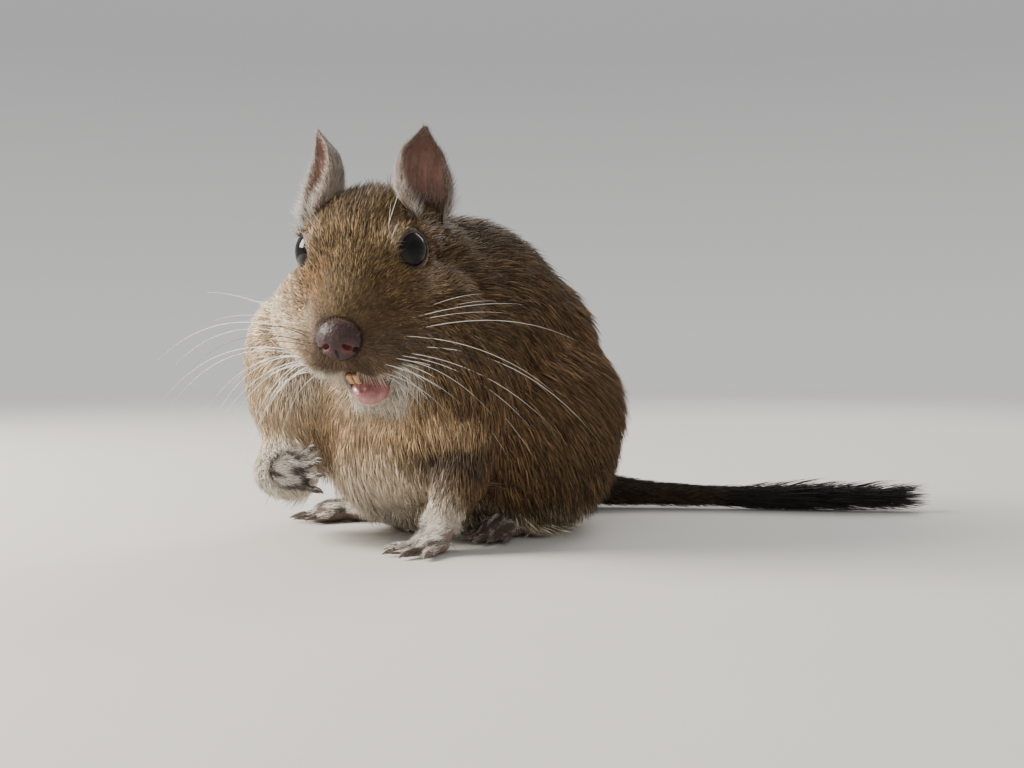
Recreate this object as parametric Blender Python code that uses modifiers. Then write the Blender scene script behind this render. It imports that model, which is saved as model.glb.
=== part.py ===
"""A life-size degu sitting hunched on its haunches, one hand on the ground and the other raised.

The animal faces -Y with its left side towards +X, and sits on the floor at z = 0. Sizes are in
millimetres at the tip of the coat and are turned into metres by MM. Soft parts are built as
overlapping masses, fused into one surface and then parted by thin cuts into the pieces that a
person would name.
"""

import math
import random

import bmesh
import bpy
from mathutils import Matrix, Vector

MM = 0.001
GAP = 0.3
RIM_GAP = 0.12
FLOOR = 0.0
FLOOR_HAIR = 0.04
BALL_SPACING = 0.35
WELD = 0.00001
CREASE = 50.0
SEED = 11

# Head pose: the nose tip's place, how far the face turns to the left and how far it bows.
NOSE_TIP = (23.2, -60.4, 52.5)
HEAD_TURN = 31.0
HEAD_BOW = 35.0

EYE_RADIUS = 5.5
EYE_CENTRE = (12.0, 27.2, 9.8)
EYE_GAZE = (0.82, -0.48, 0.28)

EAR_ROOT = (15.0, 40.5, 13.4)
EAR_LENGTH = 24.5
EAR_THICKNESS = 0.8
EAR_OPENING = 47.0
EAR_LEAN_BACK = 0.57

TAIL_ROUTE = ((2, 46, 13), (6, 58, 7), (19, 70, 4.6), (37, 84, 4.0), (57, 99.5, 4.0), (82, 118, 4.6))
TAIL_RADII = (9.0, 6.0, 4.4, 3.7, 3.1, 1.6)
TUFT_START = 0.68
TUFT_LOCKS = 34


def clear_scene():
    for thing in list(bpy.data.objects):
        bpy.data.objects.remove(thing, do_unlink=True)


def new_collection(name):
    made = bpy.data.collections.new(name)
    bpy.context.scene.collection.children.link(made)
    return made


def material(name, colour, roughness, metallic=0.0):
    made = bpy.data.materials.new(name)
    made.use_nodes = True
    shader = made.node_tree.nodes["Principled BSDF"]
    shader.inputs["Base Color"].default_value = (*colour, 1.0)
    shader.inputs["Roughness"].default_value = roughness
    shader.inputs["Metallic"].default_value = metallic
    return made


def head_frame():
    """Head coordinates: x to the animal's left, y back from the nose tip, z up across the muzzle."""
    place = Matrix.Translation(Vector(NOSE_TIP))
    turn = Matrix.Rotation(math.radians(HEAD_TURN), 4, "Z")
    bow = Matrix.Rotation(math.radians(HEAD_BOW), 4, "X")
    return place @ turn @ bow


BODY = Matrix.Identity(4)
HEAD = head_frame()


def add_ball(bm, centre, radii, turn=(0, 0, 0), frame=BODY, sides=24, rings=16):
    """An ellipsoid in a frame, given in millimetres, with its own turn in degrees about x, y and z."""
    turned = Matrix.Identity(4)
    for angle, axis in zip(turn, "XYZ"):
        turned = Matrix.Rotation(math.radians(angle), 4, axis) @ turned
    stretched = Matrix.Diagonal((*radii, 1.0))
    matrix = Matrix.Scale(MM, 4) @ frame @ Matrix.Translation(Vector(centre)) @ turned @ stretched
    rows = []
    for j in range(1, rings):
        tilt = math.pi * j / rings
        row = []
        for i in range(sides):
            angle = 2 * math.pi * i / sides
            x, y = math.sin(tilt) * math.cos(angle), math.sin(tilt) * math.sin(angle)
            row.append(bm.verts.new(matrix @ Vector((x, y, math.cos(tilt)))))
        rows.append(row)
    top = bm.verts.new(matrix @ Vector((0, 0, 1)))
    bottom = bm.verts.new(matrix @ Vector((0, 0, -1)))
    for i in range(sides):
        k = (i + 1) % sides
        bm.faces.new((top, rows[0][i], rows[0][k]))
        bm.faces.new((bottom, rows[-1][k], rows[-1][i]))
        for upper, lower in zip(rows, rows[1:]):
            bm.faces.new((upper[i], lower[i], lower[k], upper[k]))


def add_limb(bm, stations):
    """A tapered limb: balls strung close together through (x, y, z, radius) stations."""
    for start, end in zip(stations, stations[1:]):
        a, b = Vector(start[:3]), Vector(end[:3])
        steps = max(2, int((b - a).length / (BALL_SPACING * min(start[3], end[3]))))
        for i in range(steps + 1):
            t = i / steps
            radius = start[3] + (end[3] - start[3]) * t
            add_ball(bm, a.lerp(b, t), (radius,) * 3, sides=12, rings=8)


def object_from(bm, name, collection):
    mesh = bpy.data.meshes.new(name)
    bm.to_mesh(mesh)
    bm.free()
    made = bpy.data.objects.new(name, mesh)
    collection.objects.link(made)
    return made


def apply_modifiers(thing):
    graph = bpy.context.evaluated_depsgraph_get()
    graph.update()
    mesh = bpy.data.meshes.new_from_object(thing.evaluated_get(graph))
    thing.modifiers.clear()
    old = thing.data
    thing.data = mesh
    bpy.data.meshes.remove(old)


def keep_largest(thing):
    """Drops loose scraps and sealed hollows, so that the piece is one closed surface."""
    bm = bmesh.new()
    bm.from_mesh(thing.data)
    bmesh.ops.remove_doubles(bm, verts=bm.verts, dist=WELD)
    bmesh.ops.triangulate(bm, faces=bm.faces)
    left = set(bm.faces)
    islands = []
    while left:
        island, edge_of = set(), [left.pop()]
        while edge_of:
            face = edge_of.pop()
            island.add(face)
            for edge in face.edges:
                for other in edge.link_faces:
                    if other in left:
                        left.remove(other)
                        edge_of.append(other)
        islands.append(island)
    biggest = max(islands, key=lambda faces: sum(face.calc_area() for face in faces))
    spare = [face for face in bm.faces if face not in biggest]
    bmesh.ops.delete(bm, geom=spare, context="FACES")
    loose = [vert for vert in bm.verts if not vert.link_faces]
    bmesh.ops.delete(bm, geom=loose, context="VERTS")
    bmesh.ops.recalc_face_normals(bm, faces=bm.faces)
    bm.to_mesh(thing.data)
    bm.free()


def fuse(thing, voxel, passes, triangles):
    """Melts overlapping masses into one smooth skin with about the wanted number of triangles."""
    remesh = thing.modifiers.new("melt", "REMESH")
    remesh.mode = "VOXEL"
    remesh.voxel_size = voxel * MM
    smooth = thing.modifiers.new("relax", "SMOOTH")
    smooth.factor = 0.5
    smooth.iterations = passes
    apply_modifiers(thing)
    keep_largest(thing)
    lighten(thing, triangles)


def lighten(thing, triangles):
    """Collapses the flattest places until the piece has about the wanted number of triangles."""
    faces = len(thing.data.polygons)
    if faces > triangles:
        lighter = thing.modifiers.new("lighter", "DECIMATE")
        lighter.ratio = triangles / faces
        apply_modifiers(thing)
        keep_largest(thing)


def cut(thing, operation, cutters):
    """One Boolean of the piece with every object in a collection, applied."""
    boolean = thing.modifiers.new("cut", "BOOLEAN")
    boolean.operation = operation
    boolean.operand_type = "COLLECTION"
    boolean.collection = cutters
    boolean.solver = "MANIFOLD"
    apply_modifiers(thing)
    for cutter in list(cutters.objects):
        bpy.data.objects.remove(cutter, do_unlink=True)
    keep_largest(thing)


def copy_of(thing, name, collection, grow=0.0):
    """A copy whose surface is moved out along its normals by some millimetres."""
    made = bpy.data.objects.new(name, thing.data.copy())
    collection.objects.link(made)
    if grow:
        bm = bmesh.new()
        bm.from_mesh(made.data)
        bm.normal_update()
        moved = [vert.co + vert.normal * grow * MM for vert in bm.verts]
        for vert, place in zip(bm.verts, moved):
            vert.co = place
        bm.to_mesh(made.data)
        bm.free()
    return made


def add_half_space(bm, point, away, reach=200.0):
    """A large box that fills everything on the side of a plane that a direction points to."""
    facing = Vector(away).to_track_quat("Z", "Y").to_matrix().to_4x4()
    lifted = Matrix.Translation((0, 0, reach / 2))
    matrix = Matrix.Scale(MM, 4) @ Matrix.Translation(Vector(point)) @ facing @ lifted
    bmesh.ops.create_cube(bm, size=reach, matrix=matrix)


class Workshop:
    """Holds the collections, the finished nodes and the helpers that shape them."""

    def __init__(self):
        self.parts = new_collection("degu")
        self.tools = new_collection("cutters")
        self.finished = []

    def cutter(self, bm):
        made = object_from(bm, "cutter", self.tools)
        made.hide_render = True
        made.display_type = "WIRE"
        return made

    def subtract(self, thing, bm):
        self.cutter(bm)
        cut(thing, "DIFFERENCE", self.tools)

    def clear_of(self, thing, neighbours, gap=GAP):
        """Cuts the piece back so that it keeps a gap to each neighbour."""
        for neighbour in neighbours:
            made = copy_of(neighbour, "cutter", self.tools, gap)
            made.hide_render = True
            cut(thing, "DIFFERENCE", self.tools)

    def stand_on_floor(self, thing):
        bm = bmesh.new()
        add_half_space(bm, (0, 0, FLOOR), (0, 0, -1))
        self.subtract(thing, bm)

    def part_off(self, whole, name, add_region):
        """Cuts a named piece out of a larger one, along a region that add_region(bm, grow) draws."""
        piece = copy_of(whole, name, self.parts)
        bm = bmesh.new()
        add_region(bm, 0.0)
        self.cutter(bm)
        cut(piece, "INTERSECT", self.tools)
        bm = bmesh.new()
        add_region(bm, GAP)
        self.subtract(whole, bm)
        return piece

    def finish(self, thing, look, triangles=10000):
        lighten(thing, triangles)
        thing.data.materials.clear()
        thing.data.materials.append(look)
        thing.data.shade_smooth()
        thing.data.set_sharp_from_angle(angle=math.radians(CREASE))
        self.finished.append(thing)
        return thing


def add_neck_masses(bm):
    add_limb(bm, ((3, -5, 57, 29), (5, -17, 63.5, 24.5), (6.5, -26, 66, 18)))


def add_head_masses(bm):
    """Skull, cheeks, muzzle, brows, jaw and lids, in head coordinates."""
    add_ball(bm, (0, 34, 2.5), (15.6, 20, 17.5), frame=HEAD)
    add_ball(bm, (0, 37, 9.5), (15.0, 13.5, 10), frame=HEAD)
    add_ball(bm, (0, 25, 7.6), (12.0, 13, 9), (16, 0, 0), frame=HEAD)
    add_ball(bm, (0, 16, 3.6), (10.4, 15, 9.0), (14, 0, 0), frame=HEAD)
    add_ball(bm, (0, 10.5, -3.0), (10.2, 11.0, 9.2), frame=HEAD)
    add_ball(bm, (0, 3.8, 0.0), (6.6, 5.0, 5.2), frame=HEAD)
    add_ball(bm, (0.8, 21, -18.5), (10.5, 14, 8.0), (-8, 0, 0), frame=HEAD)
    add_ball(bm, (1.6, 10.4, -22.6), (6.8, 6.2, 4.4), (-6, 0, 0), frame=HEAD)
    for side in (-1, 1):
        add_ball(bm, (side * 13.8, 29, -10.5), (15.2, 16.0, 13.8), (0, side * -18, 0), frame=HEAD)
        add_ball(bm, (side * 10.0, 26, 0.5), (9.0, 14.0, 10.5), frame=HEAD)
        add_ball(bm, (side * 9.6, 18.5, -6.5), (11.6, 13.0, 10.5), frame=HEAD)
        add_ball(bm, (side * 6.2, 8.6, -6.6), (6.8, 8.2, 7.2), frame=HEAD)
        add_ball(bm, (side * 7.6, 29, 12.6), (6.4, 9.0, 5.0), (0, side * 20, 0), frame=HEAD)
        add_ball(bm, (side * 12.0, 41.0, 8.0), (5.6, 6.4, 5.4), frame=HEAD)
        add_lid_ring(bm, side)


def add_lid_ring(bm, side):
    """The swelling round the eyeball and the rims of the lids, a ring of small balls on it."""
    lid_radius, ring_radius, out = 1.05, 4.95, 2.6
    gaze = Vector((side * EYE_GAZE[0], EYE_GAZE[1], EYE_GAZE[2])).normalized()
    eye = Vector((side * EYE_CENTRE[0], *EYE_CENTRE[1:]))
    add_ball(bm, eye - gaze * 2.0, (EYE_RADIUS + 1.4,) * 3, frame=HEAD)
    centre = eye + gaze * out
    along = gaze.cross(Vector((0, 0, 1))).normalized()
    up = along.cross(gaze)
    balls = 22
    for i in range(balls):
        angle = 2 * math.pi * i / balls
        round_the_eye = along * (1.08 * math.cos(angle)) + up * math.sin(angle)
        place = centre + round_the_eye * ring_radius
        add_ball(bm, place, (lid_radius,) * 3, frame=HEAD, sides=10, rings=6)


def add_body_masses(bm):
    """Haunches, back, belly, chest, shoulders, thighs and the upper part of the raised arm."""
    add_ball(bm, (0, 14, 32), (40.5, 44.5, 35.5))
    add_ball(bm, (1, 0, 52), (32, 40, 38))
    add_ball(bm, (0, 18, 46), (31, 34, 35))
    add_ball(bm, (-2, -3, 22), (28, 26, 24))
    add_ball(bm, (4, -24, 38), (27, 18, 29))
    add_ball(bm, (2, 44, 14), (14, 14, 13))
    for side, thigh in ((1, (27, 8, 26)), (-1, (-28, 6, 26))):
        add_ball(bm, thigh, (15, 27, 25), (-14, 0, -side * 8))
    add_ball(bm, (24, -22, 41), (15, 17, 22), (12, 0, 0))
    add_ball(bm, (-22.5, -35, 43), (17.0, 17.5, 26), (12, 0, 0))
    add_ball(bm, (-14, -20, 50), (20, 24, 25), (12, 0, 0))
    add_ball(bm, (15, -14, 48), (20, 24, 25), (12, 0, 0))
    add_limb(bm, RIGHT_ARM)


LEFT_ARM = ((28, -21, 30, 9.5), (28.5, -24, 20, 8.4), (27.5, -28, 12, 6.0), (27.2, -30.5, 6.5, 4.6))
RIGHT_ARM = ((-24, -33, 28, 10.5), (-25, -39, 21, 9.8), (-18, -46.5, 19, 7.4), (-11, -50, 19.5, 5.2))


def make_eye(shop, side, name, look):
    bm = bmesh.new()
    add_ball(bm, (side * EYE_CENTRE[0], *EYE_CENTRE[1:]), (EYE_RADIUS,) * 3, frame=HEAD, sides=16, rings=10)
    return shop.finish(object_from(bm, name, shop.parts), look)


def cut_eye_socket(shop, head, side):
    bm = bmesh.new()
    radius = EYE_RADIUS + GAP
    add_ball(bm, (side * EYE_CENTRE[0], *EYE_CENTRE[1:]), (radius,) * 3, frame=HEAD, sides=20, rings=14)
    shop.subtract(head, bm)


def add_nose_region(bm, grow):
    radii = (5.8 + grow, 4.4 + grow, 5.0 + grow)
    add_ball(bm, (0, 1.2, 0.9), radii, (-16, 0, 0), HEAD, 18, 12)


def cut_nostrils(shop, nose):
    """Two comma slits that open sideways, and the cleft that runs down to the lip."""
    for side in (-1, 1):
        bm = bmesh.new()
        add_ball(bm, (side * 3.1, -1.2, 0.0), (1.7, 2.4, 0.85), (0, side * 38, side * 25), HEAD, 10, 6)
        add_ball(bm, (side * 4.3, 0.2, -1.3), (0.9, 2.4, 0.75), (0, side * 70, 0), HEAD, 10, 6)
        shop.subtract(nose, bm)
    bm = bmesh.new()
    add_ball(bm, (0, -1.5, -2.6), (0.5, 1.7, 3.0), (0, 0, 0), HEAD, 8, 6)
    shop.subtract(nose, bm)


def cut_mouth(shop, head):
    """The open mouth, the line of the lips back along the cheeks and the cleft of the upper lip."""
    bm = bmesh.new()
    add_ball(bm, (1.2, 8.4, -16.6), (6.0, 9.0, 4.0), (8, 0, 0), HEAD)
    shop.subtract(head, bm)
    bm = bmesh.new()
    add_ball(bm, (0.8, 14.5, -15.6), (12.0, 8.5, 1.0), (12, 0, 0), HEAD)
    shop.subtract(head, bm)
    bm = bmesh.new()
    add_ball(bm, (0, -0.6, -9.6), (0.65, 3.4, 5.2), (0, 0, 0), HEAD, 12, 8)
    shop.subtract(head, bm)


def make_teeth(shop):
    """The upper pair of incisors: two flat, curved chisels joined at the root."""
    bm = bmesh.new()
    for side in (-1, 1):
        for i in range(6):
            t = i / 5
            place = (side * 0.9, 4.6 + 1.4 * t * t, -12.2 - 5.0 * t)
            add_ball(bm, place, (0.86, 0.8, 1.1), frame=HEAD, sides=10, rings=6)
    add_ball(bm, (0, 4.8, -12.2), (1.7, 0.9, 1.3), frame=HEAD, sides=10, rings=6)
    made = object_from(bm, "upper_incisors", shop.parts)
    fuse(made, 0.3, 3, 260)
    return made


def make_lower_lip(shop):
    """The bare pink pad inside the dropped lower lip."""
    bm = bmesh.new()
    add_ball(bm, (2.2, 8.8, -19.6), (5.2, 4.8, 2.8), (20, 0, 0), HEAD)
    add_ball(bm, (1.8, 14.0, -18.8), (4.8, 5.4, 2.4), (8, 0, 0), HEAD)
    made = object_from(bm, "lower_lip", shop.parts)
    fuse(made, 0.5, 4, 420)
    return made


def ear_section(t):
    """The radius of the ear's curl and half of its opening angle, a share of the way up."""
    stations = (
        (0.0, 4.2, 128), (0.14, 6.0, 112), (0.34, 8.0, 94), (0.58, 8.0, 82),
        (0.78, 6.2, 74), (0.92, 3.6, 70), (1.0, 1.3, 68),
    )
    for low, high in zip(stations, stations[1:]):
        if t <= high[0]:
            share = (t - low[0]) / (high[0] - low[0])
            return (
                low[1] + (high[1] - low[1]) * share,
                math.radians(low[2] + (high[2] - low[2]) * share),
            )
    return stations[-1][1], math.radians(stations[-1][2])


def make_ear(shop, side, name, look, head):
    """A thin cupped leaf that opens to the side, with a short root that stands on the head."""
    up = Vector((0, EAR_LEAN_BACK, math.sqrt(1 - EAR_LEAN_BACK**2)))
    opening = math.radians(EAR_OPENING)
    front = Vector((side * math.sin(opening), -math.cos(opening), 0))
    front = (front - up * front.dot(up)).normalized()
    across = up.cross(front)
    root = Vector((side * EAR_ROOT[0], *EAR_ROOT[1:]))
    bm = bmesh.new()
    bmesh.ops.create_grid(bm, x_segments=10, y_segments=9, size=1.0)
    for vert in bm.verts:
        u, t = vert.co.x, (vert.co.y + 1) / 2
        radius, half = ear_section(t)
        angle = u * half
        sweep = root + up * (EAR_LENGTH * t - 3.0) + front * (1.2 * t - 1.6 * t * t)
        ring = front * (-math.cos(angle) * radius * 0.86) + across * (math.sin(angle) * radius)
        vert.co = MM * (HEAD @ (sweep + ring))
    made = object_from(bm, name, shop.parts)
    shell = made.modifiers.new("skin", "SOLIDIFY")
    shell.thickness = EAR_THICKNESS * MM
    shell.offset = 0
    shell.use_even_offset = True
    apply_modifiers(made)
    keep_largest(made)
    bm = bmesh.new()
    foot = root - up * 4.6 - Vector((side * 2.6, 0, 0))
    add_ball(bm, foot, (4.0, 4.4, 3.6), frame=HEAD, sides=16, rings=10)
    shop.cutter(bm)
    cut(made, "UNION", shop.tools)
    shop.clear_of(made, [head])
    return shop.finish(made, look, 560)


def digit(bm, root, heading, rise, length, radius, curl=0.0, claw=2.2):
    """One finger or toe with its claw. Heading is measured from -Y towards +X, in degrees."""
    place = Vector(root)
    pitch = rise
    joints = 4
    for i in range(joints):
        step = length / joints
        direction = Vector((
            math.sin(math.radians(heading)) * math.cos(math.radians(pitch)),
            -math.cos(math.radians(heading)) * math.cos(math.radians(pitch)),
            math.sin(math.radians(pitch)),
        ))
        following = place + direction * step
        thick = radius * (1.0 - 0.12 * i)
        add_limb(bm, ((*place, thick), (*following, thick * 0.96)))
        place = following
        pitch -= curl / joints
    tip = place + direction * claw + Vector((0, 0, -0.25 * claw))
    add_limb(bm, ((*place, 0.75), (*tip, 0.35)))


def make_left_hand(shop):
    """The planted hand: a flat palm with four spread fingers and a small thumb."""
    bm = bmesh.new()
    add_ball(bm, (26.6, -32.5, 2.6), (4.3, 5.2, 3.2))
    add_limb(bm, ((27.2, -30.5, 6.5, 4.2), (26.8, -32, 3.4, 3.6)))
    for heading, start, length in ((-52, -3.2, 6.6), (-24, -1.4, 7.8), (2, 1.2, 7.4), (28, 3.2, 6.2)):
        digit(bm, (26.6 + start * 0.9, -36.0 + abs(start) * 0.5, 1.5), heading, -4, length, 1.45)
    digit(bm, (22.8, -32.5, 1.4), -75, 0, 2.6, 1.2, claw=1.0)
    made = object_from(bm, "forepaw_left", shop.parts)
    fuse(made, 0.55, 3, 760)
    shop.stand_on_floor(made)
    return made


def make_right_hand(shop):
    """The raised hand: the fingers reach across the chest and curl as if round a morsel."""
    bm = bmesh.new()
    add_ball(bm, (-7.0, -51.0, 19.6), (4.8, 3.6, 4.4), (0, 0, 12))
    add_limb(bm, ((-11.0, -50.0, 19.5, 4.6), (-7.5, -50.8, 19.6, 4.0)))
    fingers = ((84, 3.2, 8.4, 22), (90, 1.2, 9.6, 12), (92, -1.0, 9.4, 2), (96, -3.0, 8.0, -12))
    for heading, height, length, rise in fingers:
        digit(bm, (-4.4, -52.0, 19.6 + height), heading, rise, length, 1.4, curl=-10, claw=1.8)
    digit(bm, (-4.8, -49.2, 22.0), 110, 30, 3.2, 1.2, claw=1.0)
    made = object_from(bm, "forepaw_right", shop.parts)
    fuse(made, 0.55, 3, 760)
    return made


def make_hind_foot(shop, name, toes, heading):
    """A long flat foot with five toes, given by its toe end and the way that it points."""
    turn = math.radians(heading)
    ahead = Vector((math.sin(turn), -math.cos(turn), 0))
    aside = Vector((math.cos(turn), math.sin(turn), 0))
    root = Vector((*toes, 0)) - ahead * 11
    bm = bmesh.new()
    for along, height, radius in ((0, 2.8, 4.0), (-8, 3.0, 3.9), (-17, 3.4, 4.3), (-22, 4.0, 5.0)):
        place = root + ahead * along
        radii = (radius + 0.6, radius + 1.6, radius * 0.85)
        add_ball(bm, (place.x, place.y, height), radii, (0, 0, heading))
    heel = root - ahead * 22
    add_limb(bm, ((root.x, root.y, 3.2, 3.3), (heel.x, heel.y, 4.6, 4.2)))
    toe_plan = ((-24, -3.9, 6.2), (-10, -2.0, 8.4), (0, 0.0, 9.0), (10, 2.0, 8.4), (26, 3.9, 5.8))
    for spread, start, length in toe_plan:
        base = root + ahead * (2.6 - abs(start) * 0.35) + aside * start
        digit(bm, (base.x, base.y, 1.7), heading + spread, -2, length * 0.82, 1.5, claw=2.3)
    made = object_from(bm, name, shop.parts)
    fuse(made, 0.6, 3, 900)
    shop.stand_on_floor(made)
    return made


def tail_point(t):
    """A place and a radius along the tail, by a smooth curve through the route's points."""
    count = len(TAIL_ROUTE) - 1
    at = min(t, 0.9999) * count
    i = int(at)
    s = at - i
    a, b, c, d = [Vector(TAIL_ROUTE[min(max(k, 0), count)]) for k in (i - 1, i, i + 1, i + 2)]
    square = 2 * a - 5 * b + 4 * c - d
    cube = 3 * b - a - 3 * c + d
    place = 0.5 * (2 * b + (c - a) * s + square * s * s + cube * s**3)
    return place, TAIL_RADII[i] + (TAIL_RADII[i + 1] - TAIL_RADII[i]) * s


def tail_length_of(shop, name, start, end, triangles=300):
    """One length of the tail, square-ended, between two shares of the route."""
    bm = bmesh.new()
    steps = 26
    for i in range(steps + 1):
        place, radius = tail_point(start + (end - start) * i / steps)
        add_ball(bm, place, (radius,) * 3, sides=14, rings=10)
    made = object_from(bm, name, shop.parts)
    fuse(made, 0.8, 3, triangles)
    return made


def add_tuft_lock(bm, t, around, length, lift, wide):
    """One flat, tapered lock of the tail brush, bent back along the tail."""
    root, radius = tail_point(t)
    ahead = (tail_point(min(t + 0.02, 1.0))[0] - tail_point(t - 0.02)[0]).normalized()
    side = ahead.cross(Vector((0, 0, 1))).normalized()
    up = side.cross(ahead)
    out = side * math.cos(around) + up * math.sin(around)
    across = ahead.cross(out).normalized()
    sides = 6
    rings = []
    for s, share in ((0.0, 1.0), (0.35, 0.95), (0.7, 0.7), (1.0, 0.3)):
        bend = math.sin(s * math.pi / 2) * lift
        middle = root + out * (radius * 0.35 + bend * length) + ahead * (length * s)
        middle.z = max(middle.z, 1.0 - 0.4 * s)
        ring = []
        for k in range(sides):
            angle = 2 * math.pi * k / sides
            place = middle + across * (math.cos(angle) * wide * share)
            ring.append(bm.verts.new(MM * (place + out * (math.sin(angle) * 0.6 * share))))
        rings.append(ring)
    for low, high in zip(rings, rings[1:]):
        for k in range(sides):
            bm.faces.new((low[k], low[(k + 1) % sides], high[(k + 1) % sides], high[k]))
    bm.faces.new(reversed(rings[0]))
    bm.faces.new(rings[-1])


def make_tuft(shop, name):
    """The black brush: a core with many overlapping locks, fused into one closed piece."""
    core = tail_length_of(shop, name, TUFT_START, 1.0, 220)
    draw = random.Random(SEED)
    golden_angle = math.pi * (3 - math.sqrt(5))
    for i in range(TUFT_LOCKS):
        share = (i + 0.5) / TUFT_LOCKS
        bm = bmesh.new()
        add_tuft_lock(
            bm,
            TUFT_START + 0.03 + (0.97 - TUFT_START) * share * 0.92,
            golden_angle * i,
            (12.0 + 3.0 * draw.random()) * (1.0 - 0.25 * share),
            0.16 + 0.10 * draw.random(),
            1.5 + 0.4 * draw.random(),
        )
        bmesh.ops.recalc_face_normals(bm, faces=bm.faces)
        shop.cutter(bm)
    cut(core, "UNION", shop.tools)
    shop.stand_on_floor(core)
    return core


def make_head(shop, looks):
    bm = bmesh.new()
    add_head_masses(bm)
    head = object_from(bm, "head", shop.parts)
    fuse(head, 0.85, 9, 4200)
    nose = shop.part_off(head, "nose", add_nose_region)
    cut_nostrils(shop, nose)
    shop.finish(nose, looks["nose"], 450)
    for side, name in ((-1, "right"), (1, "left")):
        cut_eye_socket(shop, head, side)
    cut_mouth(shop, head)
    behind = bmesh.new()
    add_half_space(behind, HEAD @ Vector((0, 48, 10)), HEAD.to_3x3() @ Vector((0, 0.97, -0.25)))
    shop.subtract(head, behind)
    return head


def region_of(centre, radii, turn=(0, 0, 0)):
    """A cutting region: one ellipsoid that can be grown by the gap."""

    def add_region(bm, grow):
        add_ball(bm, centre, [radius + grow for radius in radii], turn, sides=24, rings=16)

    return add_region


def centre_over_origin(pieces):
    """Slides every piece so that the middle of the whole, seen from above, is the origin."""
    spots = [vert.co for piece in pieces for vert in piece.data.vertices]
    low = Vector([min(spot[axis] for spot in spots) for axis in range(3)])
    high = Vector([max(spot[axis] for spot in spots) for axis in range(3)])
    middle = (low + high) / 2
    for piece in pieces:
        piece.data.transform(Matrix.Translation((-middle.x, -middle.y, 0)))


def press_flat(pieces):
    """Brings every corner that lies within a hair of the floor down or up to it."""
    for piece in pieces:
        for vert in piece.data.vertices:
            if vert.co.z < FLOOR_HAIR * MM:
                vert.co.z = FLOOR * MM


def build():
    clear_scene()
    shop = Workshop()
    looks = {
        "coat": material("coat", (0.20, 0.125, 0.065), 0.85),
        "pale_coat": material("pale_coat", (0.45, 0.35, 0.24), 0.85),
        "tail": material("tail", (0.035, 0.025, 0.02), 0.8),
        "ear": material("ear", (0.30, 0.18, 0.14), 0.6),
        "nose": material("nose", (0.10, 0.055, 0.05), 0.45),
        "eye": material("eye", (0.006, 0.005, 0.005), 0.05),
        "lip": material("lip", (0.55, 0.19, 0.17), 0.3),
        "tooth": material("tooth", (0.75, 0.36, 0.10), 0.35),
        "foot": material("foot", (0.24, 0.18, 0.14), 0.75),
    }

    head = make_head(shop, looks)
    for side, name in ((-1, "eye_right"), (1, "eye_left")):
        make_eye(shop, side, name, looks["eye"])

    bm = bmesh.new()
    add_body_masses(bm)
    add_neck_masses(bm)
    add_limb(bm, LEFT_ARM)
    torso = object_from(bm, "torso", shop.parts)
    fuse(torso, 1.7, 9, 3600)
    shop.stand_on_floor(torso)

    shop.clear_of(torso, [head])
    neck = shop.part_off(torso, "neck", region_of((9, -25, 70), (30, 22, 27)))

    hand_left = make_left_hand(shop)
    hand_right = make_right_hand(shop)
    foot_left = make_hind_foot(shop, "hind_foot_left", (27.5, -18), 12)
    foot_right = make_hind_foot(shop, "hind_foot_right", (-41, -25), -38)
    shop.clear_of(torso, [foot_left, foot_right])

    regions = {
        "thigh_left": region_of((38, 8, 24), (15, 29, 27), (-12, 0, -8)),
        "thigh_right": region_of((-39, 6, 24), (15, 29, 27), (-12, 0, 8)),
        "upper_arm_left": region_of((33, -26, 42), (14, 15, 19), (10, 0, 0)),
        "upper_arm_right": region_of((-29, -40, 42), (14, 15, 18), (10, 0, 0)),
        "forearm_right": region_of((-20, -44, 20), (15, 14, 10.5), (0, 0, -35)),
        "forearm_left": region_of((29, -29, 12), (10.5, 10.5, 16), (12, 0, 0)),
    }
    limbs = {name: shop.part_off(torso, name, region) for name, region in regions.items()}
    shop.clear_of(limbs["forearm_left"], [hand_left])
    shop.clear_of(limbs["forearm_right"], [hand_right])
    shop.clear_of(torso, [hand_left, hand_right])
    lighten(head, 3100)
    lighten(torso, 2200)
    lighten(neck, 420)
    shop.clear_of(torso, [head], RIM_GAP)
    shop.clear_of(neck, [head, torso], RIM_GAP)
    settled = [torso, head, neck]
    for name in limbs:
        lighten(limbs[name], 400)
        shop.clear_of(limbs[name], settled, RIM_GAP)
        settled.append(limbs[name])
        shop.finish(limbs[name], looks["coat"])

    tail_base = tail_length_of(shop, "tail_base", 0.0, 0.40)
    shop.stand_on_floor(tail_base)
    shop.clear_of(tail_base, [torso])
    tail_middle = tail_length_of(shop, "tail_middle", 0.38, TUFT_START)
    shop.stand_on_floor(tail_middle)
    shop.clear_of(tail_middle, [tail_base])
    tail_brush = make_tuft(shop, "tail_brush")
    shop.clear_of(tail_brush, [tail_middle])
    for piece, triangles in ((tail_base, 260), (tail_middle, 240), (tail_brush, 1800)):
        shop.finish(piece, looks["tail"], triangles)

    lip = make_lower_lip(shop)
    teeth = make_teeth(shop)
    shop.clear_of(lip, [head, teeth])
    shop.clear_of(teeth, [head])
    shop.finish(lip, looks["lip"], 280)
    shop.finish(teeth, looks["tooth"], 200)

    ears = []
    for side, name in ((-1, "ear_right"), (1, "ear_left")):
        ears.append(make_ear(shop, side, name, looks["ear"], head))
    shop.clear_of(neck, ears)
    shop.finish(neck, looks["coat"])

    for piece in (hand_left, hand_right, foot_left, foot_right):
        shop.finish(piece, looks["foot"], 580)
    shop.finish(head, looks["coat"])
    shop.finish(torso, looks["coat"])

    press_flat(shop.finished)
    centre_over_origin(shop.finished)


build()
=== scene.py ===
import math
from collections import namedtuple

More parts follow.
